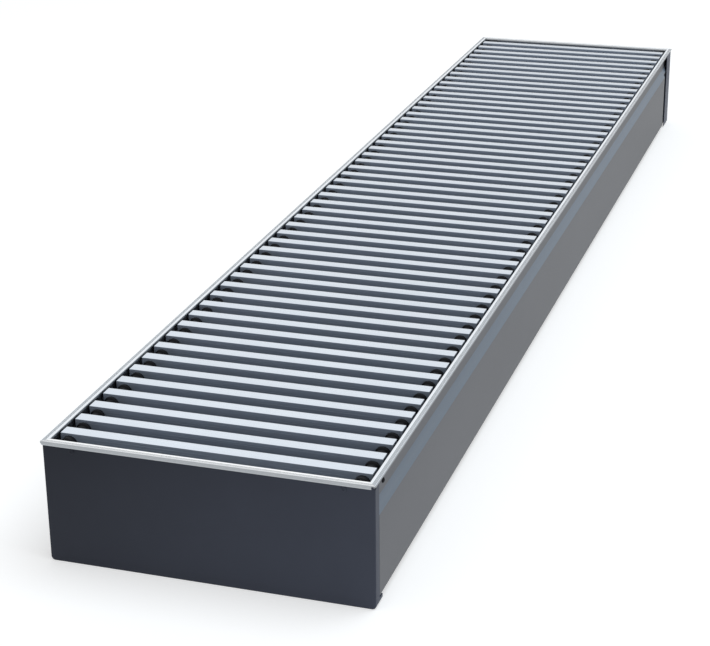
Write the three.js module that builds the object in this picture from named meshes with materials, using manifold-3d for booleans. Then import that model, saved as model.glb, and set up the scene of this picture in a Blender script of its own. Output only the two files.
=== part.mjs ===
// Trench convector heater: a folded steel tray with end panels, a mitred aluminium edge frame, a roll-up
// grille of cross slats strung on two tension springs, and a finned heat exchanger with its two valves.
//
// Millimetres, +Z up. The origin is the middle of the underside. The length runs along X: the plain end,
// from which the grille rolls up, is at -X and the connection end is at +X. The width runs along Y.

import * as THREE from 'three';
import { mergeVertices } from 'three/addons/utils/BufferGeometryUtils.js';
import Module from 'manifold-3d';

const wasm = await Module();
wasm.setup();

// ---------------------------------------------------------------- driving dimensions

const LENGTH = 1200;              // over the edge frame
const WIDTH = 232;                // over the edge frame
const HEIGHT = 90;                // floor to the top of the frame
const FIT_GAP = 0.3;              // between pieces that touch
const SHEET = 0.8;                // steel sheet of the tray, panels and guides

// Edge frame: one extrusion, mitred at the corners.
const STRIP_WIDTH = 5.4;          // bright strip seen from above
const STRIP_THICKNESS = 1.6;
const LIP_THICKNESS = 1.4;        // outer lip of the end rails, over the end panels
const LIP_HEIGHT = 3.1;
const LEG_THICKNESS = 1.0;        // inner leg down to the ledge
const LEDGE_WIDTH = 6.5;          // ledge that carries the grille
const LEDGE_THICKNESS = 1.4;
const MITRE_GAP = 0.25;           // each rail stops this far short of the mitre plane
const LIP_RELIEF = 2.0;           // lip cut back at one end of each end rail

// Damping strip on the ledge of each long rail.
const DAMPER_THICKNESS = 1.2;
const DAMPER_WIDTH = 5.0;
const DAMPER_END = 16;            // from the frame's end to the strip's end

// Roll-up grille.
const SLAT_WIDTH = 9.6;
const SLAT_HEIGHT = 14;
const SLAT_WALL = 1.4;
const SLAT_PITCH = 22.2;
const SLAT_RECESS = 0.5;          // slat tops lie this far under the frame's top
const SLAT_END_GAP = 1.6;         // slat end to the frame's inner edge
const FIRST_SLAT = 21.5;          // frame's outer face to the first slat's middle
const LAST_SLAT_MARGIN = 20;      // least distance of the last slat from the other end
const ROLLING_SLATS = 6;          // slats that are separate links of the roll
const SPACER_RADIUS = 5.5;
const SPACER_FROM_FRAME = 8.1;    // spacer axis to the frame's inner edge
const END_CAP_LENGTH = 5.0;       // spacer outside the first and the last slat
const SPRING_RADIUS = 1.6;

// Tray: floor and two side walls, joggled in below the frame.
const TRAY_LIFT = 5.0;            // underside of the tray floor over the ground
const BAND_INSET = 3.3;           // upper wall band behind the frame's outer face
const WALL_INSET = 0.6;           // lower wall behind the frame's outer face
const BAND_HEIGHT = 16.7;         // frame's top down to the joggle
const JOGGLE_HEIGHT = 8.5;        // slanted stretch down to the lower wall
const SIDE_ENTRY_WIDTH = 13.3;    // opening between the lower wall and the connection end's flange

// End panels.
const NEAR_FLANGE = 8;            // return flange of the plain end
const FAR_FLANGE = 25;            // return flange of the connection end
const FOOT_TAB = 14.5;            // flange below the tray floor, and the shelf under it
const PANEL_CORNER = 3;           // rounding of the panel's lower corners
const BEND_RELIEF = 1.5;          // notch at the top of each bend, back from the face
const CORNER_STEPS = 3;

// Blind rivets that hold the panels to the frame.
const RIVET_HEAD_RADIUS = 2.0;
const RIVET_CROWN_RADIUS = 1.6;
const RIVET_HEAD_HEIGHT = 0.8;
const RIVET_SHANK_RADIUS = 1.2;
const RIVET_FROM_SIDE = 21.5;
const RIVET_UNDER_LIP = 2.6;

// Angle plates under the mitred corners.
const ANGLE_LEG = 28;
const ANGLE_WIDTH = 5.5;
const ANGLE_THICKNESS = 1.2;

// Heat exchanger.
const TUBE_RADIUS = 7.5;
const TUBE_SPACING = 50;
const TUBE_CUT_BACK = 145;        // tube end to the connection end of the frame
const BEND_FROM_END = 55;         // start of the return bend to the plain end of the frame
const BEND_STEPS = 10;
const FIN_WIDTH = 100;
const FIN_OVER_FLOOR = 7.2;
const FIN_UNDER_BRACE = 3;
const FIN_THICKNESS = 0.6;
const FIN_PITCH = 32;
const FIN_TO_BRACKET = 5;
const COLLAR_WALL = 1.2;
const BRACKET_THICKNESS = 1.2;
const BRACKET_FROM_TUBE_END = 22;
const BRACKET_FROM_BEND = 6;
const BRACKET_FOOT = 15;
const BRACKET_UNDER_FIN_TOP = 1;

// Air guides beside the exchanger and braces across the tray.
const GUIDE_GAP = 7;              // guide to the fins
const GUIDE_FOOT = 10;
const GUIDE_UNDER_BRACE = 2;
const BRACE_POSITION = 200;       // each brace from the middle of the length
const BRACE_WIDTH = 14;
const BRACE_HEIGHT = 5;
const BRACE_WALL = 1.0;
const BRACE_UNDER_LEDGE = 1.3;

// Valves.
const NUT_ACROSS_FLATS = 24;
const NUT_LENGTH = 14;
const BODY_RADIUS = 11.5;
const BODY_LENGTH = 46;
const PORT_RADIUS = 8;
const PORT_DEPTH = 14;
const NECK_RADIUS = 9;
const NECK_HEIGHT = 17;           // neck top over the valve axis
const NECK_FROM_NUT = 18;
const SUPPLY_CAP_RADIUS = 14;
const SUPPLY_CAP_HEIGHT = 13;
const RETURN_CAP_RADIUS = 10.5;
const RETURN_CAP_HEIGHT = 9;
const CAP_RIBS = 12;
const CAP_RIB_DEPTH = 0.9;
const BLEED_BOSS_RADIUS = 4.5;
const BLEED_BOSS_HEIGHT = 14.5;
const BLEED_FROM_NECK = 20;
const BLEED_SCREW_RADIUS = 2.6;
const BLEED_HEAD_RADIUS = 4;
const BLEED_HEAD_HEIGHT = 4;
const BLEED_SHANK = 5;
const SCREW_SLOT = 1.2;

// Levelling screws in threaded bosses that are pressed into the tray floor.
const LEVEL_FROM_END = 60;
const LEVEL_FROM_SIDE = 22;
const LEVEL_RADIUS = 4;
const LEVEL_LENGTH = 35.5;
const LEVEL_TIP = 0.5;            // screw tip over the ground
const LEVEL_BOSS_WALL = 3;
const LEVEL_BOSS_HEIGHT = 8;

const ROUND_SIDES = 12;
const PLAIN_SIDES = 8;
const BORE_SIDES = 6;

// ---------------------------------------------------------------- derived places

const halfLength = LENGTH / 2;
const halfWidth = WIDTH / 2;
const stripUnderside = HEIGHT - STRIP_THICKNESS;
const lipBottom = HEIGHT - LIP_HEIGHT;
const legInset = STRIP_WIDTH - LEG_THICKNESS;
const slatTop = HEIGHT - SLAT_RECESS;
const slatBottom = slatTop - SLAT_HEIGHT;
const ledgeTop = slatBottom - DAMPER_THICKNESS - 2 * FIT_GAP;
const ledgeBottom = ledgeTop - LEDGE_THICKNESS;
const stringHeight = slatTop - SLAT_HEIGHT / 2;
const stringOffset = halfWidth - STRIP_WIDTH - SPACER_FROM_FRAME;
const slatHalfLength = halfWidth - STRIP_WIDTH - SLAT_END_GAP;
const slatCount = Math.floor((LENGTH - FIRST_SLAT - LAST_SLAT_MARGIN) / SLAT_PITCH) + 1;
const spacerLength = SLAT_PITCH - SLAT_WIDTH;
const springBore = bore(SPRING_RADIUS + FIT_GAP, BORE_SIDES);
const floorTop = TRAY_LIFT + SHEET;
const joggleTop = HEIGHT - BAND_HEIGHT;
const joggleBottom = joggleTop - JOGGLE_HEIGHT;
const panelInset = LIP_THICKNESS + FIT_GAP;
const panelBack = panelInset + SHEET;
const tubeBore = bore(TUBE_RADIUS + FIT_GAP, PLAIN_SIDES);
const tubeEnd = halfLength - TUBE_CUT_BACK;
const bendStart = -halfLength + BEND_FROM_END;
const farBracket = tubeEnd - BRACKET_FROM_TUBE_END;
const nearBracket = bendStart + BRACKET_FROM_BEND;
const braceTop = ledgeBottom - BRACE_UNDER_LEDGE;
const braceBottom = braceTop - BRACE_HEIGHT;
const finBottom = floorTop + FIN_OVER_FLOOR;
const finTop = braceBottom - FIN_UNDER_BRACE;
const tubeHeight = (finBottom + finTop) / 2;
const guideOffset = FIN_WIDTH / 2 + GUIDE_GAP;
const bodyStart = tubeEnd + NUT_LENGTH + FIT_GAP;
const neckPlace = bodyStart + NECK_FROM_NUT;
const bleedPlace = neckPlace + BLEED_FROM_NECK;
const neckTop = tubeHeight + NECK_HEIGHT;
const rivetHeight = lipBottom - RIVET_UNDER_LIP;
const levelHole = bore(LEVEL_RADIUS + FIT_GAP, ROUND_SIDES);

// ---------------------------------------------------------------- finishes

function finish(color, roughness, metalness) {
  return new THREE.MeshStandardMaterial({ color, roughness, metalness });
}

const PANEL_PAINT = finish(0x373b44, 0.55, 0.1);
const TRAY_PAINT = finish(0x4a4d53, 0.5, 0.15);
const FRAME_ALUMINIUM = finish(0xe4e9ee, 0.35, 0.8);
const SLAT_ALUMINIUM = finish(0xdde4ea, 0.4, 0.75);
const SPACER_PLASTIC = finish(0x14161a, 0.6, 0);
const DAMPER_RUBBER = finish(0x1b1c1f, 0.85, 0);
const SPRING_STEEL = finish(0x9aa0a6, 0.35, 0.9);
const FIN_ALUMINIUM = finish(0x3c3f44, 0.6, 0.4);
const COPPER = finish(0xb06a3c, 0.35, 0.9);
const NICKEL_BRASS = finish(0xb8b4a6, 0.3, 0.9);
const CAP_PLASTIC = finish(0xe8e9ea, 0.5, 0);
const RETURN_PLASTIC = finish(0x2b2d31, 0.5, 0);
const ZINC_STEEL = finish(0xa9adb2, 0.4, 0.85);

// ---------------------------------------------------------------- geometry helpers

/** Circumradius of a polygon with the given number of sides whose flats clear a round of this radius. */
function bore(radius, sides) {
  return radius / Math.cos(Math.PI / sides);
}

/** A closed geometry as a solid that can be joined and cut. */
function solid(geometry) {
  const bare = new THREE.BufferGeometry();
  bare.setAttribute('position', geometry.getAttribute('position').clone());
  if (geometry.index) bare.setIndex(geometry.index.clone());
  const merged = mergeVertices(bare, 1e-4);
  const vertProperties = new Float32Array(merged.getAttribute('position').array);
  const triVerts = new Uint32Array(merged.index.array);
  return new wasm.Manifold(new wasm.Mesh({ numProp: 3, vertProperties, triVerts }));
}

/** A joined or cut solid as a geometry. */
function geometryOf(body) {
  const mesh = body.getMesh();
  const geometry = new THREE.BufferGeometry();
  geometry.setAttribute('position', new THREE.BufferAttribute(new Float32Array(mesh.vertProperties), 3));
  geometry.setIndex(new THREE.BufferAttribute(new Uint32Array(mesh.triVerts), 1));
  geometry.computeVertexNormals();
  return geometry;
}

/** One solid from several that overlap. */
function join(bodies) {
  return wasm.Manifold.union(bodies);
}

/** A block between two corners. */
function block(low, high) {
  const size = high.map((value, i) => value - low[i]);
  const middle = high.map((value, i) => (value + low[i]) / 2);
  return solid(new THREE.BoxGeometry(...size).translate(...middle));
}

/** An outline extruded from z = 0 to the given depth. */
function extrude(outline, depth) {
  const shape = new THREE.Shape(outline.map(([a, b]) => new THREE.Vector2(a, b)));
  return new THREE.ExtrudeGeometry(shape, { depth, steps: 1, bevelEnabled: false });
}

/** A (y, z) outline extruded along X from one place to another. */
function alongX(outline, from, to) {
  const turn = new THREE.Matrix4().makeBasis(
    new THREE.Vector3(0, 1, 0),
    new THREE.Vector3(0, 0, 1),
    new THREE.Vector3(1, 0, 0),
  );
  return extrude(outline, to - from).applyMatrix4(turn).translate(from, 0, 0);
}

/** An (x, z) outline extruded along Y, half of the length to each side. */
function acrossY(outline, halfSpan) {
  return extrude(outline, 2 * halfSpan).rotateX(Math.PI / 2).translate(0, halfSpan, 0);
}

/** A round bar along X. */
function barX(radius, from, to, y, z, sides = PLAIN_SIDES) {
  const bar = new THREE.CylinderGeometry(radius, radius, to - from, sides).rotateY(Math.PI / sides);
  return solid(bar.rotateZ(-Math.PI / 2).translate((from + to) / 2, y, z));
}

/** A round bar along Z. */
function barZ(radius, from, to, x, y, sides = ROUND_SIDES) {
  const bar = new THREE.CylinderGeometry(radius, radius, to - from, sides).rotateX(Math.PI / 2);
  return solid(bar.translate(x, y, (from + to) / 2));
}

/** A tube-shaped bar through points that lie at one height. */
function sweepLevel(points, radius, sides) {
  const positions = [];
  const faces = [];
  points.forEach((point, i) => {
    const before = points[Math.max(i - 1, 0)];
    const after = points[Math.min(i + 1, points.length - 1)];
    const along = after.clone().sub(before).normalize();
    const side = new THREE.Vector3(-along.y, along.x, 0);
    for (let k = 0; k < sides; k += 1) {
      const angle = (2 * Math.PI * (k + 0.5)) / sides;
      const spot = point.clone().addScaledVector(side, radius * Math.cos(angle));
      positions.push(spot.x, spot.y, spot.z + radius * Math.sin(angle));
    }
  });
  const ring = (i, k) => i * sides + (k % sides);
  for (let i = 0; i < points.length - 1; i += 1) {
    for (let k = 0; k < sides; k += 1) {
      faces.push(ring(i, k), ring(i, k + 1), ring(i + 1, k + 1));
      faces.push(ring(i, k), ring(i + 1, k + 1), ring(i + 1, k));
    }
  }
  const last = points.length - 1;
  for (let k = 1; k < sides - 1; k += 1) {
    faces.push(ring(0, 0), ring(0, k + 1), ring(0, k));
    faces.push(ring(last, 0), ring(last, k), ring(last, k + 1));
  }
  const geometry = new THREE.BufferGeometry();
  geometry.setAttribute('position', new THREE.Float32BufferAttribute(positions, 3));
  geometry.setIndex(faces);
  return solid(geometry);
}

/** Closed outline of a folded sheet: an open path and its copy, offset to the left of the path. */
function foldedSheet(path, thickness) {
  const points = path.map(([a, b]) => new THREE.Vector2(a, b));
  const normal = (i) => {
    const run = points[i + 1].clone().sub(points[i]).normalize();
    return new THREE.Vector2(-run.y, run.x);
  };
  const offset = points.map((point, i) => {
    const first = normal(Math.max(i - 1, 0));
    const second = normal(Math.min(i, points.length - 2));
    const mitre = first.clone().add(second).normalize();
    return point.clone().addScaledVector(mitre, thickness / mitre.dot(first));
  });
  return [...points, ...offset.reverse()].map((point) => [point.x, point.y]);
}

/** A named mesh. */
function piece(name, body, material) {
  const mesh = new THREE.Mesh(body.isBufferGeometry ? body : geometryOf(body), material);
  mesh.name = name;
  return mesh;
}

const twoDigits = (number) => String(number).padStart(2, '0');
const SIDES = [['right', -1], ['left', 1]];
const ENDS = [['near', -1], ['far', 1]];

// ---------------------------------------------------------------- edge frame

/** Section of the frame's extrusion, as distance in from the outer face, and height. */
function railSection(hasLip) {
  const lip = [[0, lipBottom], [LIP_THICKNESS, lipBottom], [LIP_THICKNESS, stripUnderside]];
  return [
    [0, HEIGHT],
    ...(hasLip ? lip : [[0, stripUnderside]]),
    [legInset, stripUnderside],
    [legInset, ledgeBottom],
    [STRIP_WIDTH + LEDGE_WIDTH, ledgeBottom],
    [STRIP_WIDTH + LEDGE_WIDTH, ledgeTop],
    [STRIP_WIDTH, ledgeTop],
    [STRIP_WIDTH, HEIGHT],
  ];
}

/** A rail along X whose outer face is at y = -halfAcross and whose ends are cut at 45 degrees. */
function mitredRail(halfSpan, halfAcross, hasLip) {
  const section = railSection(hasLip);
  const count = section.length;
  const flat = section.map(([inset, height]) => new THREE.Vector2(inset, height));
  const caps = THREE.ShapeUtils.triangulateShape(flat, []);
  const positions = [];
  for (const end of [-1, 1]) {
    for (const [inset, height] of section) {
      positions.push(end * (halfSpan - inset - MITRE_GAP), inset - halfAcross, height);
    }
  }
  const clockwise = THREE.ShapeUtils.isClockWise(flat);
  const faces = [];
  const addFace = (a, b, c) => faces.push(...(clockwise ? [a, c, b] : [a, b, c]));
  for (const [a, b, c] of caps) {
    addFace(a, c, b);
    addFace(a + count, b + count, c + count);
  }
  for (let i = 0; i < count; i += 1) {
    const next = (i + 1) % count;
    addFace(i, next, next + count);
    addFace(i, next + count, i + count);
  }
  const geometry = new THREE.BufferGeometry();
  geometry.setAttribute('position', new THREE.Float32BufferAttribute(positions, 3));
  geometry.setIndex(faces);
  return geometry;
}

/** The two long rails, which have no lip. */
function longRails() {
  return SIDES.map(([side, sign]) => {
    const rail = mitredRail(halfLength, halfWidth, false);
    if (sign > 0) rail.rotateZ(Math.PI);
    return piece(`frame_rail_${side}`, solid(rail), FRAME_ALUMINIUM);
  });
}

/** The two end rails, each with its rivet holes and its lip cut back at one end. */
function endRails() {
  return ENDS.map(([end, sign]) => {
    const relief = block(
      [halfWidth - LIP_RELIEF, -halfLength - 1, lipBottom - 1],
      [halfWidth + 1, LIP_THICKNESS - halfLength, stripUnderside],
    );
    const holes = [-1, 1].map((side) => {
      const hole = barX(bore(RIVET_SHANK_RADIUS + FIT_GAP, PLAIN_SIDES), 0, STRIP_WIDTH + 1, 0, rivetHeight);
      return hole.rotate([0, 0, 90]).translate([side * (halfWidth - RIVET_FROM_SIDE), -halfLength, 0]);
    });
    const rail = solid(mitredRail(halfWidth, halfLength, true)).subtract(join([relief, ...holes]));
    return piece(`frame_rail_${end}`, rail.rotate([0, 0, sign * 90]), FRAME_ALUMINIUM);
  });
}

/** Angle plates that hold the mitred corners from below. */
function cornerAngles() {
  const top = ledgeBottom - FIT_GAP;
  const inner = STRIP_WIDTH + LEDGE_WIDTH;
  const outer = inner - ANGLE_WIDTH;
  const outline = [[0, 0], [ANGLE_LEG, 0], [ANGLE_LEG, ANGLE_WIDTH], [ANGLE_WIDTH, ANGLE_WIDTH],
    [ANGLE_WIDTH, ANGLE_LEG], [0, ANGLE_LEG]];
  return ENDS.flatMap(([end, endSign]) => SIDES.map(([side, sideSign]) => {
    const corner = outline.map(([a, b]) => [
      endSign * (halfLength - outer - a),
      sideSign * (halfWidth - outer - b),
    ]);
    const plate = extrude(corner, ANGLE_THICKNESS).translate(0, 0, top - ANGLE_THICKNESS);
    return piece(`corner_angle_${end}_${side}`, solid(plate), ZINC_STEEL);
  }));
}

/** Damping strips on the ledges of the long rails. */
function damperStrips() {
  const outer = halfWidth - STRIP_WIDTH - FIT_GAP;
  const reach = halfLength - DAMPER_END;
  return SIDES.map(([side, sign]) => {
    const edges = [sign * outer, sign * (outer - DAMPER_WIDTH)].sort((a, b) => a - b);
    const bottom = ledgeTop + FIT_GAP;
    const strip = block([-reach, edges[0], bottom], [reach, edges[1], bottom + DAMPER_THICKNESS]);
    return piece(`damper_strip_${side}`, strip, DAMPER_RUBBER);
  });
}

// ---------------------------------------------------------------- tray and end panels

/** The folded tray: floor, joggled walls, threaded bosses, and both ends cut for the end panels. */
function tray() {
  const bandFace = halfWidth - BAND_INSET;
  const wallFace = halfWidth - WALL_INSET;
  const top = stripUnderside - FIT_GAP;
  const rightHalf = [[-bandFace, top], [-bandFace, joggleTop], [-wallFace, joggleBottom],
    [-wallFace, TRAY_LIFT]];
  const leftHalf = rightHalf.map(([y, z]) => [-y, z]).reverse();
  const reach = halfLength - panelBack - FIT_GAP;
  const sheet = solid(alongX(foldedSheet([...rightHalf, ...leftHalf], SHEET), -reach, reach));
  const floorReach = wallFace - 2 * SHEET;
  const cut = (from, to, sign) => {
    const edges = [sign * floorReach, sign * (halfWidth + 1)].sort((a, b) => a - b);
    return block([from, edges[0], 0], [to, edges[1], joggleTop]);
  };
  const nearEdge = -halfLength + panelInset + NEAR_FLANGE + FIT_GAP;
  const farEdge = halfLength - panelInset - FAR_FLANGE - SIDE_ENTRY_WIDTH;
  const cuts = [-1, 1].flatMap((sign) => [
    cut(-halfLength, nearEdge, sign),
    cut(farEdge, halfLength, sign),
  ]);
  const bossTop = TRAY_LIFT + LEVEL_BOSS_HEIGHT;
  const bosses = levelPlaces().map(({ x, y }) => (
    barZ(levelHole + LEVEL_BOSS_WALL, TRAY_LIFT, bossTop, x, y)));
  const holes = levelPlaces().map(({ x, y }) => barZ(levelHole, 0, bossTop + 1, x, y));
  const body = join([sheet, ...bosses]).subtract(join([...cuts, ...holes]));
  return piece('tray', body, TRAY_PAINT);
}

/** Outline of an end panel's face: rounded lower corners, and a tongue that stands in the frame. */
function panelOutline() {
  const side = halfWidth - WALL_INSET;
  const tongue = halfWidth - LIP_THICKNESS - FIT_GAP;
  const shoulder = lipBottom - FIT_GAP;
  const shape = new THREE.Path();
  shape.moveTo(tongue, stripUnderside - FIT_GAP);
  shape.lineTo(-tongue, stripUnderside - FIT_GAP);
  shape.lineTo(-tongue, shoulder);
  shape.lineTo(-side, shoulder);
  shape.absarc(PANEL_CORNER - side, PANEL_CORNER, PANEL_CORNER, Math.PI, 1.5 * Math.PI, false);
  shape.absarc(side - PANEL_CORNER, PANEL_CORNER, PANEL_CORNER, 1.5 * Math.PI, 2 * Math.PI, false);
  shape.lineTo(side, shoulder);
  shape.lineTo(tongue, shoulder);
  return shape.getPoints(CORNER_STEPS).map((point) => [point.x, point.y]);
}

/** An end panel with its side flanges, foot tabs and the shelf that carries the tray floor. */
function endPanel(flange) {
  const face = -halfLength + panelInset;
  const reach = face + Math.max(flange, FOOT_TAB);
  const full = solid(alongX(panelOutline(), face, reach));
  const side = halfWidth - WALL_INSET - SHEET;
  const shelf = TRAY_LIFT - FIT_GAP;
  const back = reach + 1;
  const cuts = [
    block([face + SHEET, -side, shelf], [back, side, HEIGHT]),              // room over the shelf
    block([face + SHEET, -side, -1], [back, side, shelf - SHEET]),          // room under the shelf
    block([face + FOOT_TAB, -side, -1], [back, side, shelf]),               // back edge of the shelf
    block([face + flange, -halfWidth, shelf], [back, halfWidth, HEIGHT]),   // back edge of the flanges
    block([face + SHEET, -halfWidth, lipBottom - FIT_GAP], [back, halfWidth, HEIGHT]),
  ];
  const flangeTops = [-1, 1].map((sign) => {
    const edges = [sign * side, sign * (side + SHEET)].sort((a, b) => a - b);
    return block(
      [face + BEND_RELIEF, edges[0], lipBottom - 2 * FIT_GAP],
      [face + flange, edges[1], stripUnderside - FIT_GAP],
    );
  });
  const holes = [-1, 1].map((sign) => barX(
    bore(RIVET_SHANK_RADIUS + FIT_GAP, PLAIN_SIDES),
    face - 1,
    face + SHEET + 1,
    sign * (halfWidth - RIVET_FROM_SIDE),
    rivetHeight,
  ));
  return join([full.subtract(join([...cuts, ...holes])), ...flangeTops]);
}

/** Both end panels. */
function endPanels() {
  return [
    piece('end_panel_near', endPanel(NEAR_FLANGE), PANEL_PAINT),
    piece('end_panel_far', endPanel(FAR_FLANGE).rotate([0, 0, 180]), PANEL_PAINT),
  ];
}

/** Blind rivets through each panel's tongue into the frame's leg. */
function rivets() {
  const face = halfLength - panelInset + FIT_GAP;
  const outline = [[0, 0], [RIVET_CROWN_RADIUS, 0], [RIVET_HEAD_RADIUS, -RIVET_HEAD_HEIGHT / 2],
    [RIVET_HEAD_RADIUS, -RIVET_HEAD_HEIGHT], [RIVET_SHANK_RADIUS, -RIVET_HEAD_HEIGHT],
    [RIVET_SHANK_RADIUS, -STRIP_WIDTH], [0, -STRIP_WIDTH]];
  const profile = outline.map(([r, h]) => new THREE.Vector2(r, h));
  return ENDS.flatMap(([end, endSign]) => SIDES.map(([side, sideSign]) => {
    const rivet = new THREE.LatheGeometry(profile.toReversed(), ROUND_SIDES);
    rivet.translate(0, face + RIVET_HEAD_HEIGHT, 0).rotateZ(-endSign * Math.PI / 2);
    rivet.translate(0, sideSign * (halfWidth - RIVET_FROM_SIDE), rivetHeight);
    return piece(`rivet_${end}_${side}`, solid(rivet), ZINC_STEEL);
  }));
}

// ---------------------------------------------------------------- roll-up grille

/** Middle of a slat, counted from 1 at the plain end. */
function slatPlace(number) {
  return -halfLength + FIRST_SLAT + (number - 1) * SLAT_PITCH;
}

/** A slat: an inverted channel across the tray. */
function slat(number) {
  const half = SLAT_WIDTH / 2;
  const inner = half - SLAT_WALL;
  const outline = [[-half, slatBottom], [-inner, slatBottom], [-inner, slatTop - SLAT_WALL],
    [inner, slatTop - SLAT_WALL], [inner, slatBottom], [half, slatBottom], [half, slatTop], [-half, slatTop]];
  return solid(acrossY(outline, slatHalfLength).translate(slatPlace(number), 0, 0));
}

/** A spacer on one string between two places. */
function spacer(from, to, sign) {
  return barX(SPACER_RADIUS, from, to, sign * stringOffset, stringHeight);
}

/** The slats of the roll, each with the spacers on its far side, and the caps outside the first. */
function rollingSlats() {
  const pieces = [];
  for (let number = 1; number <= ROLLING_SLATS; number += 1) {
    const tag = twoDigits(number);
    const far = slatPlace(number) + SLAT_WIDTH / 2;
    pieces.push(piece(`slat_${tag}`, slat(number), SLAT_ALUMINIUM));
    for (const [side, sign] of SIDES) {
      const body = spacer(far + FIT_GAP, far + spacerLength - FIT_GAP, sign);
      pieces.push(piece(`spacer_${side}_${tag}`, body, SPACER_PLASTIC));
    }
  }
  const nearFace = slatPlace(1) - SLAT_WIDTH / 2 - FIT_GAP;
  for (const [side, sign] of SIDES) {
    pieces.push(piece(`end_cap_${side}`, spacer(nearFace - END_CAP_LENGTH, nearFace, sign), SPACER_PLASTIC));
  }
  return pieces;
}

/** The rest of the grille: its slats and spacers, drawn together by the springs, as one mat. */
function grilleMat() {
  const bodies = [];
  const seat = SLAT_WALL / 2;
  const firstFace = slatPlace(ROLLING_SLATS + 1) - SLAT_WIDTH / 2;
  const lastFace = slatPlace(slatCount) + SLAT_WIDTH / 2;
  for (let number = ROLLING_SLATS + 1; number <= slatCount; number += 1) {
    bodies.push(slat(number));
    const far = slatPlace(number) + SLAT_WIDTH / 2;
    const length = number < slatCount ? spacerLength + seat : END_CAP_LENGTH;
    for (const [, sign] of SIDES) bodies.push(spacer(far - seat, far + length, sign));
  }
  const bores = SIDES.map(([, sign]) => barX(
    springBore,
    firstFace - 1,
    lastFace + END_CAP_LENGTH + 1,
    sign * stringOffset,
    stringHeight,
    BORE_SIDES,
  ));
  return piece('grille_mat', join(bodies).subtract(join(bores)), SLAT_ALUMINIUM);
}

/** Tension springs through the mat, as plain bars of the springs' outer size. */
function grilleSprings() {
  const from = slatPlace(ROLLING_SLATS + 1) - SLAT_WIDTH / 2;
  const to = slatPlace(slatCount) + SLAT_WIDTH / 2 + END_CAP_LENGTH;
  return SIDES.map(([side, sign]) => {
    const spring = barX(SPRING_RADIUS, from, to, sign * stringOffset, stringHeight);
    return piece(`grille_spring_${side}`, spring, SPRING_STEEL);
  });
}

// ---------------------------------------------------------------- heat exchanger

/** The copper hairpin: two straight runs and the return bend. */
function hairpin() {
  const radius = TUBE_SPACING / 2;
  const points = [new THREE.Vector3(tubeEnd, -radius, tubeHeight)];
  for (let i = 0; i <= BEND_STEPS; i += 1) {
    const angle = (Math.PI * i) / BEND_STEPS;
    const reach = radius * Math.sin(angle);
    points.push(new THREE.Vector3(bendStart - reach, -radius * Math.cos(angle), tubeHeight));
  }
  points.push(new THREE.Vector3(tubeEnd, radius, tubeHeight));
  return piece('exchanger_tube', sweepLevel(points, TUBE_RADIUS, PLAIN_SIDES), COPPER);
}

/** The fin pack: plates drawn out in collars that slide over the two tube runs. */
function finPack() {
  const from = nearBracket + BRACKET_THICKNESS + FIN_TO_BRACKET;
  const to = farBracket - FIN_TO_BRACKET;
  const count = Math.floor((to - from) / FIN_PITCH) + 1;
  const start = (from + to - (count - 1) * FIN_PITCH) / 2;
  const low = [-FIN_THICKNESS / 2, -FIN_WIDTH / 2, finBottom];
  const high = [FIN_THICKNESS / 2, FIN_WIDTH / 2, finTop];
  const bodies = [];
  for (let i = 0; i < count; i += 1) bodies.push(block(low, high).translate([start + i * FIN_PITCH, 0, 0]));
  const collarStart = start - FIN_TO_BRACKET / 2;
  const collarEnd = start + (count - 1) * FIN_PITCH + FIN_TO_BRACKET / 2;
  const bores = [];
  for (const sign of [-1, 1]) {
    const y = (sign * TUBE_SPACING) / 2;
    bodies.push(barX(tubeBore + COLLAR_WALL, collarStart, collarEnd, y, tubeHeight));
    bores.push(barX(tubeBore, collarStart - 1, collarEnd + 1, y, tubeHeight));
  }
  return piece('exchanger_fins', join(bodies).subtract(join(bores)), FIN_ALUMINIUM);
}

/** Brackets that carry the exchanger on the tray floor. */
function exchangerBrackets() {
  return [['near', nearBracket, 1], ['far', farBracket, -1]].map(([end, place, sign]) => {
    const half = FIN_WIDTH / 2;
    const base = floorTop + FIT_GAP;
    const foot = [place, place - sign * BRACKET_FOOT].sort((a, b) => a - b);
    const top = finTop - BRACKET_UNDER_FIN_TOP;
    const plate = block([place, -half, base], [place + BRACKET_THICKNESS, half, top]);
    const sole = block([foot[0], -half, base], [foot[1] + BRACKET_THICKNESS, half, base + BRACKET_THICKNESS]);
    const holes = [-1, 1].map((side) => barX(
      tubeBore,
      place - 1,
      place + BRACKET_THICKNESS + 1,
      (side * TUBE_SPACING) / 2,
      tubeHeight,
    ));
    return piece(`exchanger_bracket_${end}`, join([plate, sole]).subtract(join(holes)), ZINC_STEEL);
  });
}

/** Air guides: upright sheets that part the cool air beside the exchanger from the warm air over it. */
function airGuides() {
  const from = nearBracket;
  const to = farBracket;
  const base = floorTop + FIT_GAP;
  const top = braceBottom - GUIDE_UNDER_BRACE;
  return SIDES.map(([side, sign]) => {
    const outer = guideOffset + GUIDE_FOOT;
    const outline = [[guideOffset, base], [outer, base], [outer, base + SHEET],
      [guideOffset + SHEET, base + SHEET], [guideOffset + SHEET, top], [guideOffset, top]];
    const mirrored = outline.map(([y, z]) => [sign * y, z]);
    return piece(`air_guide_${side}`, solid(alongX(mirrored, from, to)), TRAY_PAINT);
  });
}

/** Braces across the tray that keep its walls parallel. */
function crossBraces() {
  const reach = halfWidth - BAND_INSET - SHEET - FIT_GAP;
  const half = BRACE_WIDTH / 2;
  const inner = half - BRACE_WALL;
  const outline = [[-half, braceBottom], [-inner, braceBottom], [-inner, braceTop - BRACE_WALL],
    [inner, braceTop - BRACE_WALL], [inner, braceBottom], [half, braceBottom], [half, braceTop],
    [-half, braceTop]];
  return ENDS.map(([end, sign]) => {
    const brace = acrossY(outline, reach).translate(sign * BRACE_POSITION, 0, 0);
    return piece(`cross_brace_${end}`, solid(brace), ZINC_STEEL);
  });
}

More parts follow.
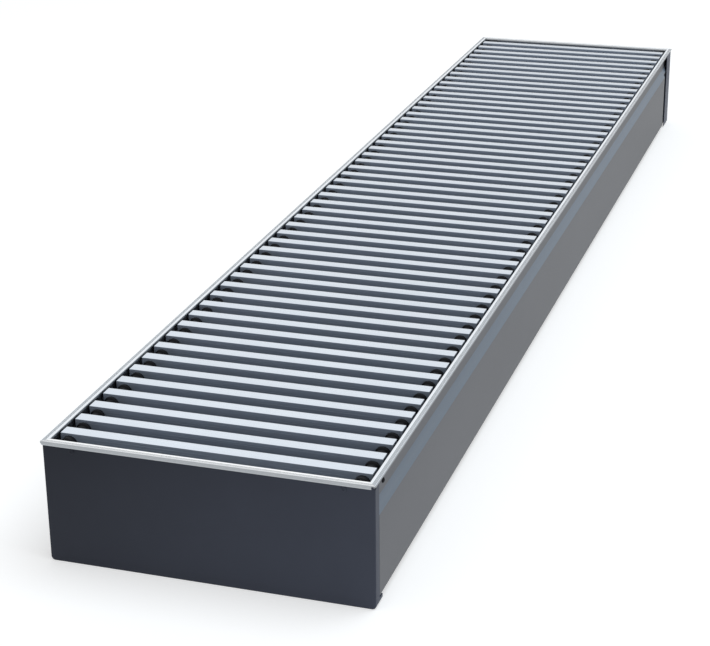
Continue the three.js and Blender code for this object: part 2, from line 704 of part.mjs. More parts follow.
// ---------------------------------------------------------------- valves

/** Hexagonal union nuts that join the tube ends to the valves. */
function unionNuts() {
  const radius = bore(NUT_ACROSS_FLATS / 2, 6);
  return [['supply', -1], ['return', 1]].map(([name, sign]) => {
    const y = (sign * TUBE_SPACING) / 2;
    const overlap = NUT_LENGTH / 2;
    const nut = barX(radius, tubeEnd - overlap, tubeEnd + NUT_LENGTH, y, tubeHeight, 6);
    const cut = barX(tubeBore, tubeEnd - NUT_LENGTH, tubeEnd + FIT_GAP, y, tubeHeight);
    return piece(`union_nut_${name}`, nut.subtract(cut), NICKEL_BRASS);
  });
}

/** A straight valve body with its neck, its open port and, on the return side, the bleed boss. */
function valveBody(sign, hasBleed) {
  const y = (sign * TUBE_SPACING) / 2;
  const end = bodyStart + BODY_LENGTH;
  const neck = barZ(NECK_RADIUS, tubeHeight, neckTop, neckPlace, y);
  const bodies = [barX(BODY_RADIUS, bodyStart, end, y, tubeHeight, ROUND_SIDES), neck];
  const cuts = [barX(PORT_RADIUS, end - PORT_DEPTH, end + 1, y, tubeHeight, ROUND_SIDES)];
  if (hasBleed) {
    const top = tubeHeight + BLEED_BOSS_HEIGHT;
    bodies.push(barZ(BLEED_BOSS_RADIUS, tubeHeight + PORT_RADIUS, top, bleedPlace, y));
    cuts.push(barZ(BLEED_SCREW_RADIUS + FIT_GAP, top - BLEED_SHANK, top + 1, bleedPlace, y, PLAIN_SIDES));
  }
  return join(bodies).subtract(join(cuts));
}

/** A ribbed cap on a valve neck. */
function valveCap(sign, radius, height) {
  const outline = [];
  for (let i = 0; i < 2 * CAP_RIBS; i += 1) {
    const angle = (Math.PI * i) / CAP_RIBS;
    const reach = i % 2 ? radius - CAP_RIB_DEPTH : radius;
    outline.push([reach * Math.cos(angle), reach * Math.sin(angle)]);
  }
  const cap = extrude(outline, height).translate(neckPlace, (sign * TUBE_SPACING) / 2, neckTop + FIT_GAP);
  return solid(cap);
}

/** The slotted bleed screw in its boss. */
function bleedScrew() {
  const x = bleedPlace;
  const y = TUBE_SPACING / 2;
  const seat = tubeHeight + BLEED_BOSS_HEIGHT + FIT_GAP;
  const top = seat + BLEED_HEAD_HEIGHT;
  const head = barZ(BLEED_HEAD_RADIUS, seat, top, x, y);
  const shank = barZ(BLEED_SCREW_RADIUS, seat - BLEED_SHANK, seat + 1, x, y, PLAIN_SIDES);
  const slot = block(
    [x - BLEED_HEAD_RADIUS, y - SCREW_SLOT / 2, top - SCREW_SLOT],
    [x + BLEED_HEAD_RADIUS, y + SCREW_SLOT / 2, top + 1],
  );
  return join([head, shank]).subtract(slot);
}

/** Both valves with their nuts, caps and the bleed screw. */
function valves() {
  return [
    ...unionNuts(),
    piece('supply_valve_body', valveBody(-1, false), NICKEL_BRASS),
    piece('return_valve_body', valveBody(1, true), NICKEL_BRASS),
    piece('supply_valve_cap', valveCap(-1, SUPPLY_CAP_RADIUS, SUPPLY_CAP_HEIGHT), CAP_PLASTIC),
    piece('return_valve_cap', valveCap(1, RETURN_CAP_RADIUS, RETURN_CAP_HEIGHT), RETURN_PLASTIC),
    piece('bleed_screw', bleedScrew(), NICKEL_BRASS),
  ];
}

// ---------------------------------------------------------------- levelling

/** Where the levelling screws stand. */
function levelPlaces() {
  return ENDS.flatMap(([end, endSign]) => SIDES.map(([side, sideSign]) => ({
    tag: `${end}_${side}`,
    x: endSign * (halfLength - LEVEL_FROM_END),
    y: sideSign * (halfWidth - LEVEL_FROM_SIDE),
  })));
}

/** The slotted levelling screws. */
function levelling() {
  const top = LEVEL_TIP + LEVEL_LENGTH;
  return levelPlaces().map(({ tag, x, y }) => {
    const slot = block(
      [x - LEVEL_RADIUS, y - SCREW_SLOT / 2, top - SCREW_SLOT],
      [x + LEVEL_RADIUS, y + SCREW_SLOT / 2, top + 1],
    );
    const screw = barZ(LEVEL_RADIUS, LEVEL_TIP, top, x, y).subtract(slot);
    return piece(`level_screw_${tag}`, screw, ZINC_STEEL);
  });
}

// ---------------------------------------------------------------- assembly

const group = new THREE.Group();
group.name = 'trench_convector';
group.add(
  tray(),
  ...endPanels(),
  ...rivets(),
  ...longRails(),
  ...endRails(),
  ...cornerAngles(),
  ...damperStrips(),
  ...rollingSlats(),
  grilleMat(),
  ...grilleSprings(),
  hairpin(),
  finPack(),
  ...exchangerBrackets(),
  ...airGuides(),
  ...crossBraces(),
  ...valves(),
  ...levelling(),
);

export default group;
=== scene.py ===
"""Looks of a trench convector heater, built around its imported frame.

The heater lies along X: the plain end, from which its grille rolls up, is at -X and is called near. The
connection end is at +X and is called far. Right is -Y. Everything is in metres, with the ground at z = 0.
Each sub-assembly is a class that makes its pieces in mesh code or with Geometry Nodes and dresses them.
"""

from __future__ import annotations

import logging
import math
from dataclasses import dataclass, field
from enum import Enum
from functools import cached_property
from typing import Sequence

import bmesh
import bpy
from mathutils import Matrix, Vector

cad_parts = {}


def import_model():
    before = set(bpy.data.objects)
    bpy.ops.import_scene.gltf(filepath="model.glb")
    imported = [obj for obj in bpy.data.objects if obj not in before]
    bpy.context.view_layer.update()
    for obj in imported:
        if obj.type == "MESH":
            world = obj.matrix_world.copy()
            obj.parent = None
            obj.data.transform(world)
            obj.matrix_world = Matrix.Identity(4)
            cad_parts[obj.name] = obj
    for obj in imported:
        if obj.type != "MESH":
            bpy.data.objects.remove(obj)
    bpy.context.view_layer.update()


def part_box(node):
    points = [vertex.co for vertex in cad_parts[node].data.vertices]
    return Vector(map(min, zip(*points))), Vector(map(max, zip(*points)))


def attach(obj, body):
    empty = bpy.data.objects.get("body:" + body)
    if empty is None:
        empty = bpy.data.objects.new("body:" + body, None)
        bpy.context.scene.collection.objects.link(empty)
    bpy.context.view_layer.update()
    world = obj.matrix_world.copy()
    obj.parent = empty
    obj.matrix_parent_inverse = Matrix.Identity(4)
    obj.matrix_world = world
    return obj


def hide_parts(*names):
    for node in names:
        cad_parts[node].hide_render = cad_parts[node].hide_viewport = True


LOG = logging.getLogger("trench_convector")

MM = 0.001
MERGE_DISTANCE = 1e-7
ROUND_STEPS = 5                     # stretches in each rounded corner of an outline
SMOOTH_ANGLE = math.radians(32)     # flatter edges than this are shaded smooth
BEVEL_ANGLE = math.radians(40)      # sharper edges than this are broken
NOISE_RANGE = (0.25, 0.75)          # where the values of a noise mostly lie
ROOT = "root"

Point = tuple[float, float]
Colour = tuple[float, float, float]


# ---------------------------------------------------------------- names and places


class Axis(Enum):
    """A direction along which an outline is drawn out or a profile is turned."""

    X = 0
    Y = 1
    Z = 2

    def place(self, a: float, b: float, along: float) -> Vector:
        """Puts a point of an outline into space.

        Args:
            a: First outline coordinate: y for the X axis, and x for the others.
            b: Second outline coordinate: y for the Z axis, and z for the others.
            along: Place along this axis.

        Returns:
            The point.
        """
        places = {Axis.X: (along, a, b), Axis.Y: (a, along, b), Axis.Z: (a, b, along)}
        return Vector(places[self])


class Named(Enum):
    """An option whose word in node names is its own name in small letters."""

    @property
    def label(self) -> str:
        """The option's word in node names."""
        return self.name.lower()


class Side(Named):
    """A long side of the heater, with its sign along Y."""

    RIGHT = -1
    LEFT = 1


class End(Named):
    """An end of the heater, with its sign along X."""

    NEAR = -1
    FAR = 1


class Slot(Enum):
    """The record's material slots."""

    PANEL_PAINT = "panel_paint"
    TRAY_PAINT = "tray_paint"
    FRAME_ALUMINIUM = "frame_aluminium"
    SLAT_ALUMINIUM = "slat_aluminium"
    SPACER_PLASTIC = "spacer_plastic"
    DAMPER_RUBBER = "damper_rubber"
    SPRING_STEEL = "spring_steel"
    FIN_ALUMINIUM = "fin_aluminium"
    COPPER = "copper"
    NICKEL_BRASS = "nickel_brass"
    WHITE_PLASTIC = "white_plastic"
    BLACK_PLASTIC = "black_plastic"
    ZINC_STEEL = "zinc_steel"


@dataclass(frozen=True)
class Room:
    """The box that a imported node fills."""

    low: Vector
    high: Vector

    @classmethod
    def of(cls, node: str) -> "Room":
        """The box of the node with this name."""
        return cls(*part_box(node))

    @property
    def centre(self) -> Vector:
        """Middle of the box."""
        return (self.low + self.high) / 2

    @property
    def size(self) -> Vector:
        """Length of the box along each axis."""
        return self.high - self.low


@dataclass(frozen=True)
class Corner:
    """A corner of an outline and the radius that it is rounded to."""

    a: float
    b: float
    radius: float = 0.0


# ---------------------------------------------------------------- outlines


def rounded(corners: Sequence[Corner], closed: bool = True, steps: int = ROUND_STEPS) -> list[Point]:
    """Rounds the corners of an outline or of an open path.

    Args:
        corners: The corners in order.
        closed: Whether the last corner runs on to the first one.
        steps: Stretches in each round.

    Returns:
        The points of the rounded outline.
    """
    points: list[Point] = []
    count = len(corners)
    for index, corner in enumerate(corners):
        here = Vector((corner.a, corner.b))
        at_end = not closed and index in (0, count - 1)
        if corner.radius <= 0 or at_end:
            points.append((here.x, here.y))
            continue
        before = corners[index - 1]
        after = corners[(index + 1) % count]
        to_before = (Vector((before.a, before.b)) - here).normalized()
        to_after = (Vector((after.a, after.b)) - here).normalized()
        half_angle = to_before.angle(to_after) / 2
        centre = here + (to_before + to_after).normalized() * corner.radius / math.sin(half_angle)
        start = here + to_before * corner.radius / math.tan(half_angle) - centre
        turn = start.angle_signed(here + to_after * corner.radius / math.tan(half_angle) - centre)
        for step in range(steps + 1):
            angle = -turn * step / steps
            spoke = Matrix.Rotation(angle, 2) @ start
            points.append(((centre + spoke).x, (centre + spoke).y))
    return points


def folded(path: Sequence[Corner], thickness: float) -> list[Point]:
    """Outline of a folded sheet.

    Args:
        path: One face of the sheet, as an open path with bend radii.
        thickness: Sheet thickness, to the left of the path where it is positive.

    Returns:
        The closed outline.
    """
    face = [Vector(point) for point in rounded(path, closed=False)]
    back = []
    for index, point in enumerate(face):
        before = face[max(index - 1, 0)]
        after = face[min(index + 1, len(face) - 1)]
        first = (point - before) if index else (after - point)
        second = (after - point) if index < len(face) - 1 else first
        mitre = first.orthogonal().normalized() + second.orthogonal().normalized()
        mitre.normalize()
        back.append(point + mitre * thickness / mitre.dot(first.orthogonal().normalized()))
    return [tuple(point) for point in face + back[::-1]]


# ---------------------------------------------------------------- mesh work


def link(name: str, data: bpy.types.ID) -> bpy.types.Object:
    """Makes an object of a mesh, a lamp or a camera, linked to the scene."""
    thing = bpy.data.objects.new(name, data)
    bpy.context.scene.collection.objects.link(thing)
    return thing


def make_object(name: str, vertices: Sequence[Vector], faces: Sequence[Sequence[int]]) -> bpy.types.Object:
    """Makes a mesh object whose faces point outwards.

    Args:
        name: Name of the object.
        vertices: Corners of the mesh.
        faces: Corner numbers of each face.

    Returns:
        The object, linked to the scene.
    """
    mesh = bpy.data.meshes.new(name)
    mesh.from_pydata([tuple(vertex) for vertex in vertices], [], faces)
    shape = bmesh.new()
    shape.from_mesh(mesh)
    bmesh.ops.remove_doubles(shape, verts=shape.verts, dist=MERGE_DISTANCE)
    bmesh.ops.recalc_face_normals(shape, faces=shape.faces)
    shape.to_mesh(mesh)
    shape.free()
    return link(name, mesh)


def prism_faces(count: int) -> list[list[int]]:
    """Faces of a prism that has this many corners at each end."""
    faces = [list(range(count)), list(range(count, 2 * count))]
    for index in range(count):
        after = (index + 1) % count
        faces.append([index, after, after + count, index + count])
    return faces


def draw_out(name: str, outline: Sequence[Point], axis: Axis, start: float, end: float) -> bpy.types.Object:
    """Draws an outline out along an axis.

    Args:
        name: Name of the object.
        outline: Closed outline across the axis.
        axis: The axis.
        start: Where the piece starts along the axis.
        end: Where it ends.

    Returns:
        The closed solid.
    """
    vertices = [axis.place(a, b, along) for along in (start, end) for a, b in outline]
    return make_object(name, vertices, prism_faces(len(outline)))


def block(name: str, low: Sequence[float], high: Sequence[float]) -> bpy.types.Object:
    """A block between two corners, used to cut other pieces."""
    outline = [(low[1], low[2]), (high[1], low[2]), (high[1], high[2]), (low[1], high[2])]
    return draw_out(name, outline, Axis.X, low[0], high[0])


def turned(
    name: str,
    profile: Sequence[Point],
    axis: Axis,
    centre: Vector,
    segments: int = 32,
    ring: bool = False,
) -> bpy.types.Object:
    """Turns a profile round an axis.

    Args:
        name: Name of the object.
        profile: Points as radius and place along the axis, from axis to axis, or round a ring's section.
        axis: The axis that it turns round.
        centre: A point on the axis, from which places along it are measured.
        segments: Facets round the axis.
        ring: Whether the profile closes on itself and leaves a bore.

    Returns:
        The closed solid.
    """
    vertices = []
    for radius, along in profile:
        for step in range(segments):
            angle = 2 * math.pi * step / segments
            spot = axis.place(radius * math.cos(angle), radius * math.sin(angle), along)
            vertices.append(centre + spot)
    faces = []
    rows = len(profile) if ring else len(profile) - 1
    for row in range(rows):
        below, above = row * segments, ((row + 1) % len(profile)) * segments
        for step in range(segments):
            after = (step + 1) % segments
            faces.append([below + step, below + after, above + after, above + step])
    return make_object(name, vertices, faces)


def bar(
    name: str, radius: float, ends: Point, axis: Axis, centre: Vector, segments: int
) -> bpy.types.Object:
    """A plain round bar between two places along an axis, used as a drill or a collar."""
    start, end = ends
    profile = [(0.0, start), (radius, start), (radius, end), (0.0, end)]
    return turned(name, profile, axis, centre, segments)


def settle(thing: bpy.types.Object) -> bpy.types.Object:
    """Turns an object with modifiers into a plain mesh of its own."""
    bpy.context.view_layer.update()
    graph = bpy.context.evaluated_depsgraph_get()
    mesh = bpy.data.meshes.new_from_object(thing.evaluated_get(graph), depsgraph=graph)
    old = thing.data
    thing.modifiers.clear()
    thing.data = mesh
    bpy.data.meshes.remove(old)
    mesh.name = thing.name
    return thing


def combine(thing: bpy.types.Object, others: Sequence[bpy.types.Object], operation: str) -> bpy.types.Object:
    """Cuts or joins an object with others, which are used up.

    Args:
        thing: The object that is kept.
        others: The objects to cut or join with.
        operation: DIFFERENCE, UNION or INTERSECT.

    Returns:
        The kept object.
    """
    for other in others:
        cut = thing.modifiers.new(other.name, "BOOLEAN")
        cut.operation = operation
        cut.solver = "EXACT"
        cut.object = other
    settle(thing)
    for other in others:
        discard(other)
    return thing


def discard(thing: bpy.types.Object) -> None:
    """Removes an object and its mesh."""
    mesh = thing.data
    bpy.data.objects.remove(thing)
    bpy.data.meshes.remove(mesh)


def cut_slot(screw: bpy.types.Object, centre: Vector, reach: float, width: float) -> bpy.types.Object:
    """Cuts a driver's slot along X into the top of a screw.

    Args:
        screw: The screw.
        centre: Middle of its top.
        reach: How far the slot runs each way.
        width: Width of the slot, which is also its depth.

    Returns:
        The screw.
    """
    half = width / 2
    slot = block("slot", (centre.x - reach, centre.y - half, centre.z - width),
                 (centre.x + reach, centre.y + half, centre.z + MM))
    return combine(screw, [slot], "DIFFERENCE")


def gather(name: str, things: Sequence[bpy.types.Object]) -> bpy.types.Object:
    """Puts several meshes into one object, each still a closed shell of its own."""
    shape = bmesh.new()
    for thing in things:
        shape.from_mesh(thing.data)
        discard(thing)
    mesh = bpy.data.meshes.new(name)
    shape.to_mesh(mesh)
    shape.free()
    return link(name, mesh)


def soften(thing: bpy.types.Object, width: float, segments: int = 2) -> bpy.types.Object:
    """Breaks the sharp edges of a piece with a small bevel."""
    bevel = thing.modifiers.new("broken_edges", "BEVEL")
    bevel.width = width
    bevel.segments = segments
    bevel.limit_method = "ANGLE"
    bevel.angle_limit = BEVEL_ANGLE
    return settle(thing)


def turn_about_z(thing: bpy.types.Object, degrees: float) -> bpy.types.Object:
    """Turns a piece's mesh about the vertical through the origin."""
    thing.data.transform(Matrix.Rotation(math.radians(degrees), 4, "Z"))
    return thing


def moved(thing: bpy.types.Object, offset: Vector) -> bpy.types.Object:
    """Moves a piece's mesh by an offset."""
    thing.data.transform(Matrix.Translation(offset))
    return thing


# ---------------------------------------------------------------- node trees


class Graph:
    """A node tree that is filled node by node."""

    def __init__(self, tree: bpy.types.NodeTree) -> None:
        """Takes up a tree.

        Args:
            tree: The tree to fill.
        """
        self.tree = tree

    def give(self, target: bpy.types.NodeSocket, source: object) -> None:
        """Links an input to a socket, or sets it to a plain value."""
        if isinstance(source, bpy.types.NodeSocket):
            self.tree.links.new(source, target)
        else:
            target.default_value = source

    def feed(self, node: bpy.types.Node, **sources: object) -> bpy.types.Node:
        """Fills a node's inputs.

        Args:
            node: The node.
            **sources: A socket or a plain value for each input, with _ for a space in its name.

        Returns:
            The node.
        """
        for name, source in sources.items():
            target = next(s for s in node.inputs if s.name.replace(" ", "_") == name and s.enabled)
            self.give(target, source)
        return node

    def node(self, kind: str, **values: object) -> bpy.types.Node:
        """Adds a node.

        Args:
            kind: Blender's name of the node type.
            **values: Properties of the node, in small letters, and its inputs, which start with a capital.

        Returns:
            The node.
        """
        made = self.tree.nodes.new(kind)
        for name in filter(str.islower, values):
            setattr(made, name, values[name])
        return self.feed(made, **{name: value for name, value in values.items() if not name.islower()})

    def reckon(self, operation: str, *values: object, kind: str = "ShaderNodeMath") -> bpy.types.Node:
        """Adds a math node, whose inputs take the values in order."""
        made = self.node(kind, operation=operation)
        for target, value in zip(made.inputs, values):
            self.give(target, value)
        return made


# ---------------------------------------------------------------- Geometry Nodes


class Input(Enum):
    """Kinds of named inputs of a Geometry Nodes tree."""

    COUNT = "NodeSocketInt"
    LENGTH = "NodeSocketFloat"
    PLACE = "NodeSocketVector"
    OBJECT = "NodeSocketObject"
    MATERIAL = "NodeSocketMaterial"


class Recipe(Graph):
    """A Geometry Nodes tree with named inputs, which ends in Realize Instances and Set Material."""

    def __init__(self, name: str, **inputs: Input) -> None:
        """Starts a tree that has its named inputs and no other nodes.

        Args:
            name: Name of the node group.
            **inputs: Kind of each input, with _ for a space in its name.
        """
        super().__init__(bpy.data.node_groups.new(name, "GeometryNodeTree"))
        sockets = self.tree.interface
        for way in ("INPUT", "OUTPUT"):
            sockets.new_socket(name="Geometry", in_out=way, socket_type="NodeSocketGeometry")
        for word, kind in {**inputs, "Finish": Input.MATERIAL}.items():
            sockets.new_socket(name=word.replace("_", " "), in_out="INPUT", socket_type=kind.value)
        self.inlet = self.node("NodeGroupInput").outputs
        self.outlet = self.node("NodeGroupOutput").inputs

    def sweep(self, curve: bpy.types.Node, radius: bpy.types.NodeSocket, sides: object) -> bpy.types.Node:
        """Sweeps a circle along a curve and caps its ends."""
        section = self.node("GeometryNodeCurvePrimitiveCircle", Resolution=sides, Radius=radius)
        return self.node(
            "GeometryNodeCurveToMesh",
            Curve=curve.outputs[0],
            Profile_Curve=section.outputs[0],
            Fill_Caps=True,
        )

    def helix(self, resolution: int, sides: int, turn: Sequence[float]) -> bpy.types.Node:
        """A wire wound as the inputs Turns, Coil radius, Wire radius, Length and Place say.

        Args:
            resolution: Stretches in each turn of the wire.
            sides: Facets round the wire.
            turn: Turn of the whole coil, as an XYZ rotation in radians.

        Returns:
            The node that lays the coil in its place.
        """
        spiral = self.node(
            "GeometryNodeCurveSpiral",
            Resolution=resolution,
            Rotations=self.inlet["Turns"],
            Start_Radius=self.inlet["Coil radius"],
            End_Radius=self.inlet["Coil radius"],
            Height=self.inlet["Length"],
            Reverse=False,
        )
        wire = self.sweep(spiral, self.inlet["Wire radius"], sides)
        return self.node(
            "GeometryNodeTransform",
            Geometry=wire.outputs[0],
            Translation=self.inlet["Place"],
            Rotation=tuple(turn),
        )

    def end(self, node: bpy.types.Node) -> "Recipe":
        """Realizes a node's geometry, gives it the finish and leads it out of the tree."""
        real = self.node("GeometryNodeRealizeInstances", Geometry=node.outputs[0])
        dressed = self.node(
            "GeometryNodeSetMaterial", Geometry=real.outputs[0], Material=self.inlet["Finish"]
        )
        self.give(self.outlet[0], dressed.outputs[0])
        return self

    def run(self, thing: bpy.types.Object, **inputs: object) -> bpy.types.Object:
        """Runs the tree on an object and keeps the result as its plain mesh.

        Args:
            thing: The object whose mesh goes in.
            **inputs: Value of each of the tree's inputs, with _ for a space in its name.

        Returns:
            The object with its new mesh.
        """
        modifier = thing.modifiers.new(self.tree.name, "NODES")
        modifier.node_group = self.tree
        for item in self.tree.interface.items_tree:
            name = item.name.replace(" ", "_")
            if item.in_out == "INPUT" and name in inputs:
                modifier[item.identifier] = inputs[name]
        return settle(thing)


class Recipes:
    """The Geometry Nodes trees that the heater's repeated pieces are made with."""

    wound = {
        "Turns": Input.LENGTH,
        "Coil_radius": Input.LENGTH,
        "Wire_radius": Input.LENGTH,
        "Length": Input.LENGTH,
        "Place": Input.PLACE,
    }

    @cached_property
    def row(self) -> Recipe:
        """A row of copies of the object's mesh along X."""
        recipe = Recipe("row_along_x", Count=Input.COUNT, Start=Input.LENGTH, Pitch=Input.LENGTH)
        start, pitch = (
            recipe.node("ShaderNodeCombineXYZ", X=recipe.inlet[name]).outputs[0]
            for name in ("Start", "Pitch")
        )
        line = recipe.node(
            "GeometryNodeMeshLine",
            mode="OFFSET",
            count_mode="TOTAL",
            Count=recipe.inlet["Count"],
            Start_Location=start,
            Offset=pitch,
        )
        return recipe.end(recipe.node(
            "GeometryNodeInstanceOnPoints", Points=line.outputs[0], Instance=recipe.inlet["Geometry"]
        ))

    @cached_property
    def places(self) -> Recipe:
        """Copies of a template object at the object's points, turned by their turn attribute."""
        recipe = Recipe("copies_at_places", Template=Input.OBJECT)
        shape = recipe.node("GeometryNodeObjectInfo", Object=recipe.inlet["Template"])
        turn = recipe.node("GeometryNodeInputNamedAttribute", data_type="FLOAT_VECTOR", Name="turn")
        return recipe.end(recipe.node(
            "GeometryNodeInstanceOnPoints",
            Points=recipe.inlet["Geometry"],
            Instance=shape.outputs["Geometry"],
            Rotation=turn.outputs[0],
        ))

    @cached_property
    def coil(self) -> Recipe:
        """A coil of wire along X, which starts at a place."""
        recipe = Recipe("coil_spring", **self.wound)
        return recipe.end(recipe.helix(resolution=10, sides=5, turn=(0.0, math.pi / 2, 0.0)))

    @cached_property
    def pipe(self) -> Recipe:
        """A pipe along the object's edges."""
        recipe = Recipe("pipe_on_path", Radius=Input.LENGTH, Sides=Input.COUNT)
        path = recipe.node("GeometryNodeMeshToCurve", Mesh=recipe.inlet["Geometry"])
        return recipe.end(recipe.sweep(path, recipe.inlet["Radius"], recipe.inlet["Sides"]))

    @cached_property
    def thread(self) -> Recipe:
        """A helical thread ridge up Z, joined to the object's own mesh."""
        recipe = Recipe("thread_on_core", **self.wound)
        ridge = recipe.helix(resolution=20, sides=4, turn=(0.0, 0.0, 0.0))
        joined = recipe.node("GeometryNodeJoinGeometry", Geometry=ridge.outputs[0])
        recipe.give(joined.inputs[0], recipe.inlet["Geometry"])
        return recipe.end(joined)


# ---------------------------------------------------------------- finishes


class Shader(Graph):
    """A material's node tree round its Principled shader."""

    def __init__(self, name: str) -> None:
        """Starts a material.

        Args:
            name: Name of the material.
        """
        self.material = bpy.data.materials.new(name)
        self.material.use_nodes = True
        super().__init__(self.material.node_tree)
        self.surface = self.tree.nodes["Principled BSDF"]

    @cached_property
    def spot(self) -> bpy.types.bpy_prop_collection:
        """The object coordinates and normal of the spot that is shaded."""
        return self.node("ShaderNodeTexCoord").outputs

    def noise(self, *scale: float, detail: float) -> bpy.types.NodeSocket:
        """Soft noise on object coordinates.

        Args:
            *scale: Patterns to the metre, as one number or as one each along X, Y and Z.
            detail: Number of finer layers.

        Returns:
            The noise, about 0.5.
        """
        scales = scale * 3 if len(scale) == 1 else scale
        mapping = self.node("ShaderNodeMapping", Vector=self.spot["Object"], Scale=scales)
        return self.node(
            "ShaderNodeTexNoise", Vector=mapping.outputs[0], Scale=1.0, Detail=detail, Roughness=0.55
        ).outputs[0]

    def ramp(self, value: bpy.types.NodeSocket, source: Point, target: Point) -> bpy.types.NodeSocket:
        """Carries a value from one range to another and clamps it."""
        return self.node(
            "ShaderNodeMapRange",
            Value=value,
            From_Min=source[0],
            From_Max=source[1],
            To_Min=target[0],
            To_Max=target[1],
        ).outputs[0]

    def spread(self, noise: bpy.types.NodeSocket, low: float, high: float) -> bpy.types.NodeSocket:
        """Spreads the values of a noise over a range."""
        return self.ramp(noise, NOISE_RANGE, (low, high))

    def mix(
        self, value: bpy.types.NodeSocket, low: bpy.types.NodeSocket | Colour, high: Colour
    ) -> bpy.types.NodeSocket:
        """Mixes a plain colour, or one that the tree makes, with another plain colour."""
        low = low if isinstance(low, bpy.types.NodeSocket) else (*low, 1.0)
        mixed = self.node("ShaderNodeMix", data_type="RGBA", Factor=value, A=low, B=(*high, 1.0))
        return next(socket for socket in mixed.outputs if socket.enabled)

    def drifting(self, colour: bpy.types.NodeSocket, drift: Sequence[float]) -> bpy.types.NodeSocket:
        """A colour whose tone changes slowly with the place on the piece: a painted gradient of light and
        shade.

        Args:
            colour: The colour at the origin.
            drift: Change of tone to the metre along X, Y and Z, as painted light and shade.

        Returns:
            The colour with its painted light and shade.
        """
        slope = self.reckon("DOT_PRODUCT", self.spot["Object"], tuple(drift), kind="ShaderNodeVectorMath")
        factor = self.ramp(slope.outputs["Value"], (-1.0, 1.0), (0.0, 2.0))
        return self.node(
            "ShaderNodeVectorMath", operation="SCALE", Vector=colour, Scale=factor
        ).outputs[0]

    def tilt(self, offset: float = 0.0) -> bpy.types.NodeSocket:
        """The size of the difference between the z of the face's normal and an offset: 1 where level."""
        parts = self.node("ShaderNodeSeparateXYZ", Vector=self.spot["Normal"])
        less = self.reckon("SUBTRACT", parts.outputs[2], offset)
        return self.reckon("ABSOLUTE", less.outputs[0]).outputs[0]

    def bump(self, height: bpy.types.NodeSocket, strength: float, depth: float) -> None:
        """Lets a height move the surface's normal.

        Args:
            height: The height pattern.
            strength: Strength from 0 to 1.
            depth: Depth of the full height in metres.
        """
        bump = self.node("ShaderNodeBump", Height=height, Strength=strength, Distance=depth)
        self.feed(self.surface, Normal=bump.outputs[0])


@dataclass(frozen=True)
class Finish:
    """A finish: its slot in the record, its colour, its roughness and a slow gradient of painted light and
    shade.
    """

    slot: Slot
    colour: Colour
    roughness: float
    drift: Colour = (0.0, 0.0, 0.0)         # painted light and shade: change of tone to the metre along X, Y and Z

    def shade(self, factor: float) -> Colour:
        """The colour made lighter or darker."""
        return tuple(min(channel * factor, 1.0) for channel in self.colour)

    def clouded(self, shader: Shader, clouds: bpy.types.NodeSocket, low: float, high: float
                ) -> bpy.types.NodeSocket:
        """The colour, which clouds take from one factor of its tone to another."""
        return shader.mix(shader.spread(clouds, 0.0, 1.0), self.shade(low), self.shade(high))

    def uneven(self, shader: Shader, noise: bpy.types.NodeSocket, low: float, high: float
               ) -> bpy.types.NodeSocket:
        """The roughness, which a noise takes from a little less to a little more."""
        return shader.spread(noise, self.roughness - low, self.roughness + high)

    def material(self) -> bpy.types.Material:
        """The finish as a material."""
        raise NotImplementedError


@dataclass(frozen=True)
class PowderCoat(Finish):
    """Powder coat on sheet steel: orange peel, faint mottling, a satin gloss, a slow gradient of painted
    light and shade, and a painted sky reflection on faces that slant a little upwards.
    """

    specular: float = 0.4
    slanted: Colour | None = None           # painted sky reflection: lighter, bluer colour of faces that slant a little upwards

    def material(self) -> bpy.types.Material:
        """The powder coat as a material."""
        shader = Shader(self.slot.value)
        clouds = shader.noise(5.0, 9.0, 9.0, detail=5.0)
        speckle = shader.noise(2600.0, detail=2.0)
        peel = shader.noise(520.0, detail=2.0)
        # The mottled colour gets its slow gradient of painted light and shade.
        colour = shader.drifting(self.clouded(shader, clouds, 0.9, 1.12), self.drift)
        # Faces that slant a little upwards are painted lighter and bluer: a painted sky reflection.
        if self.slanted:
            sky_reflection_mask = shader.ramp(shader.tilt(offset=0.3), (0.2, 0.1), (0.0, 1.0))
            colour = shader.mix(sky_reflection_mask, colour, self.slanted)
        shader.feed(
            shader.surface,
            Base_Color=colour,
            Metallic=0.0,
            Specular_IOR_Level=self.specular,
            Roughness=self.uneven(shader, speckle, 0.05, 0.05),
        )
        shader.bump(peel, 0.35, 0.05 * MM)
        return shader.material


@dataclass(frozen=True)
class Anodised(Finish):
    """Satin anodised aluminium with a fine grain along one axis, painted shade on its upright faces and a
    slow gradient of painted light and shade.
    """

    grain: Axis = Axis.X
    upright: Colour = (0.41, 0.43, 0.45)    # painted shade: darker colour of upright faces
    bare: float = 1.0                       # how much upright faces look like bare metal

    def material(self) -> bpy.types.Material:
        """The anodised aluminium as a material."""
        shader = Shader(f"{self.slot.value}_{self.grain.name.lower()}")
        across, along, level = 1500.0, 9.0, (0.7, 0.97)
        lines = shader.noise(*(along if axis is self.grain else across for axis in Axis), detail=3.0)
        clouds = shader.noise(14.0, detail=4.0)
        # The mottled colour gets its slow gradient of painted light and shade.
        colour = shader.drifting(self.clouded(shader, clouds, 0.97, 1.03), self.drift)
        shader.feed(
            shader.surface,
            # Upright faces are painted the darker upright colour: painted shade.
            Base_Color=shader.mix(shader.ramp(shader.tilt(), level, (1.0, 0.0)), colour, self.upright),
            Metallic=shader.ramp(shader.tilt(), level, (self.bare, 1.0)),
            Roughness=self.uneven(shader, lines, 0.07, 0.07),
        )
        shader.bump(lines, 0.25, 0.02 * MM)
        return shader.material


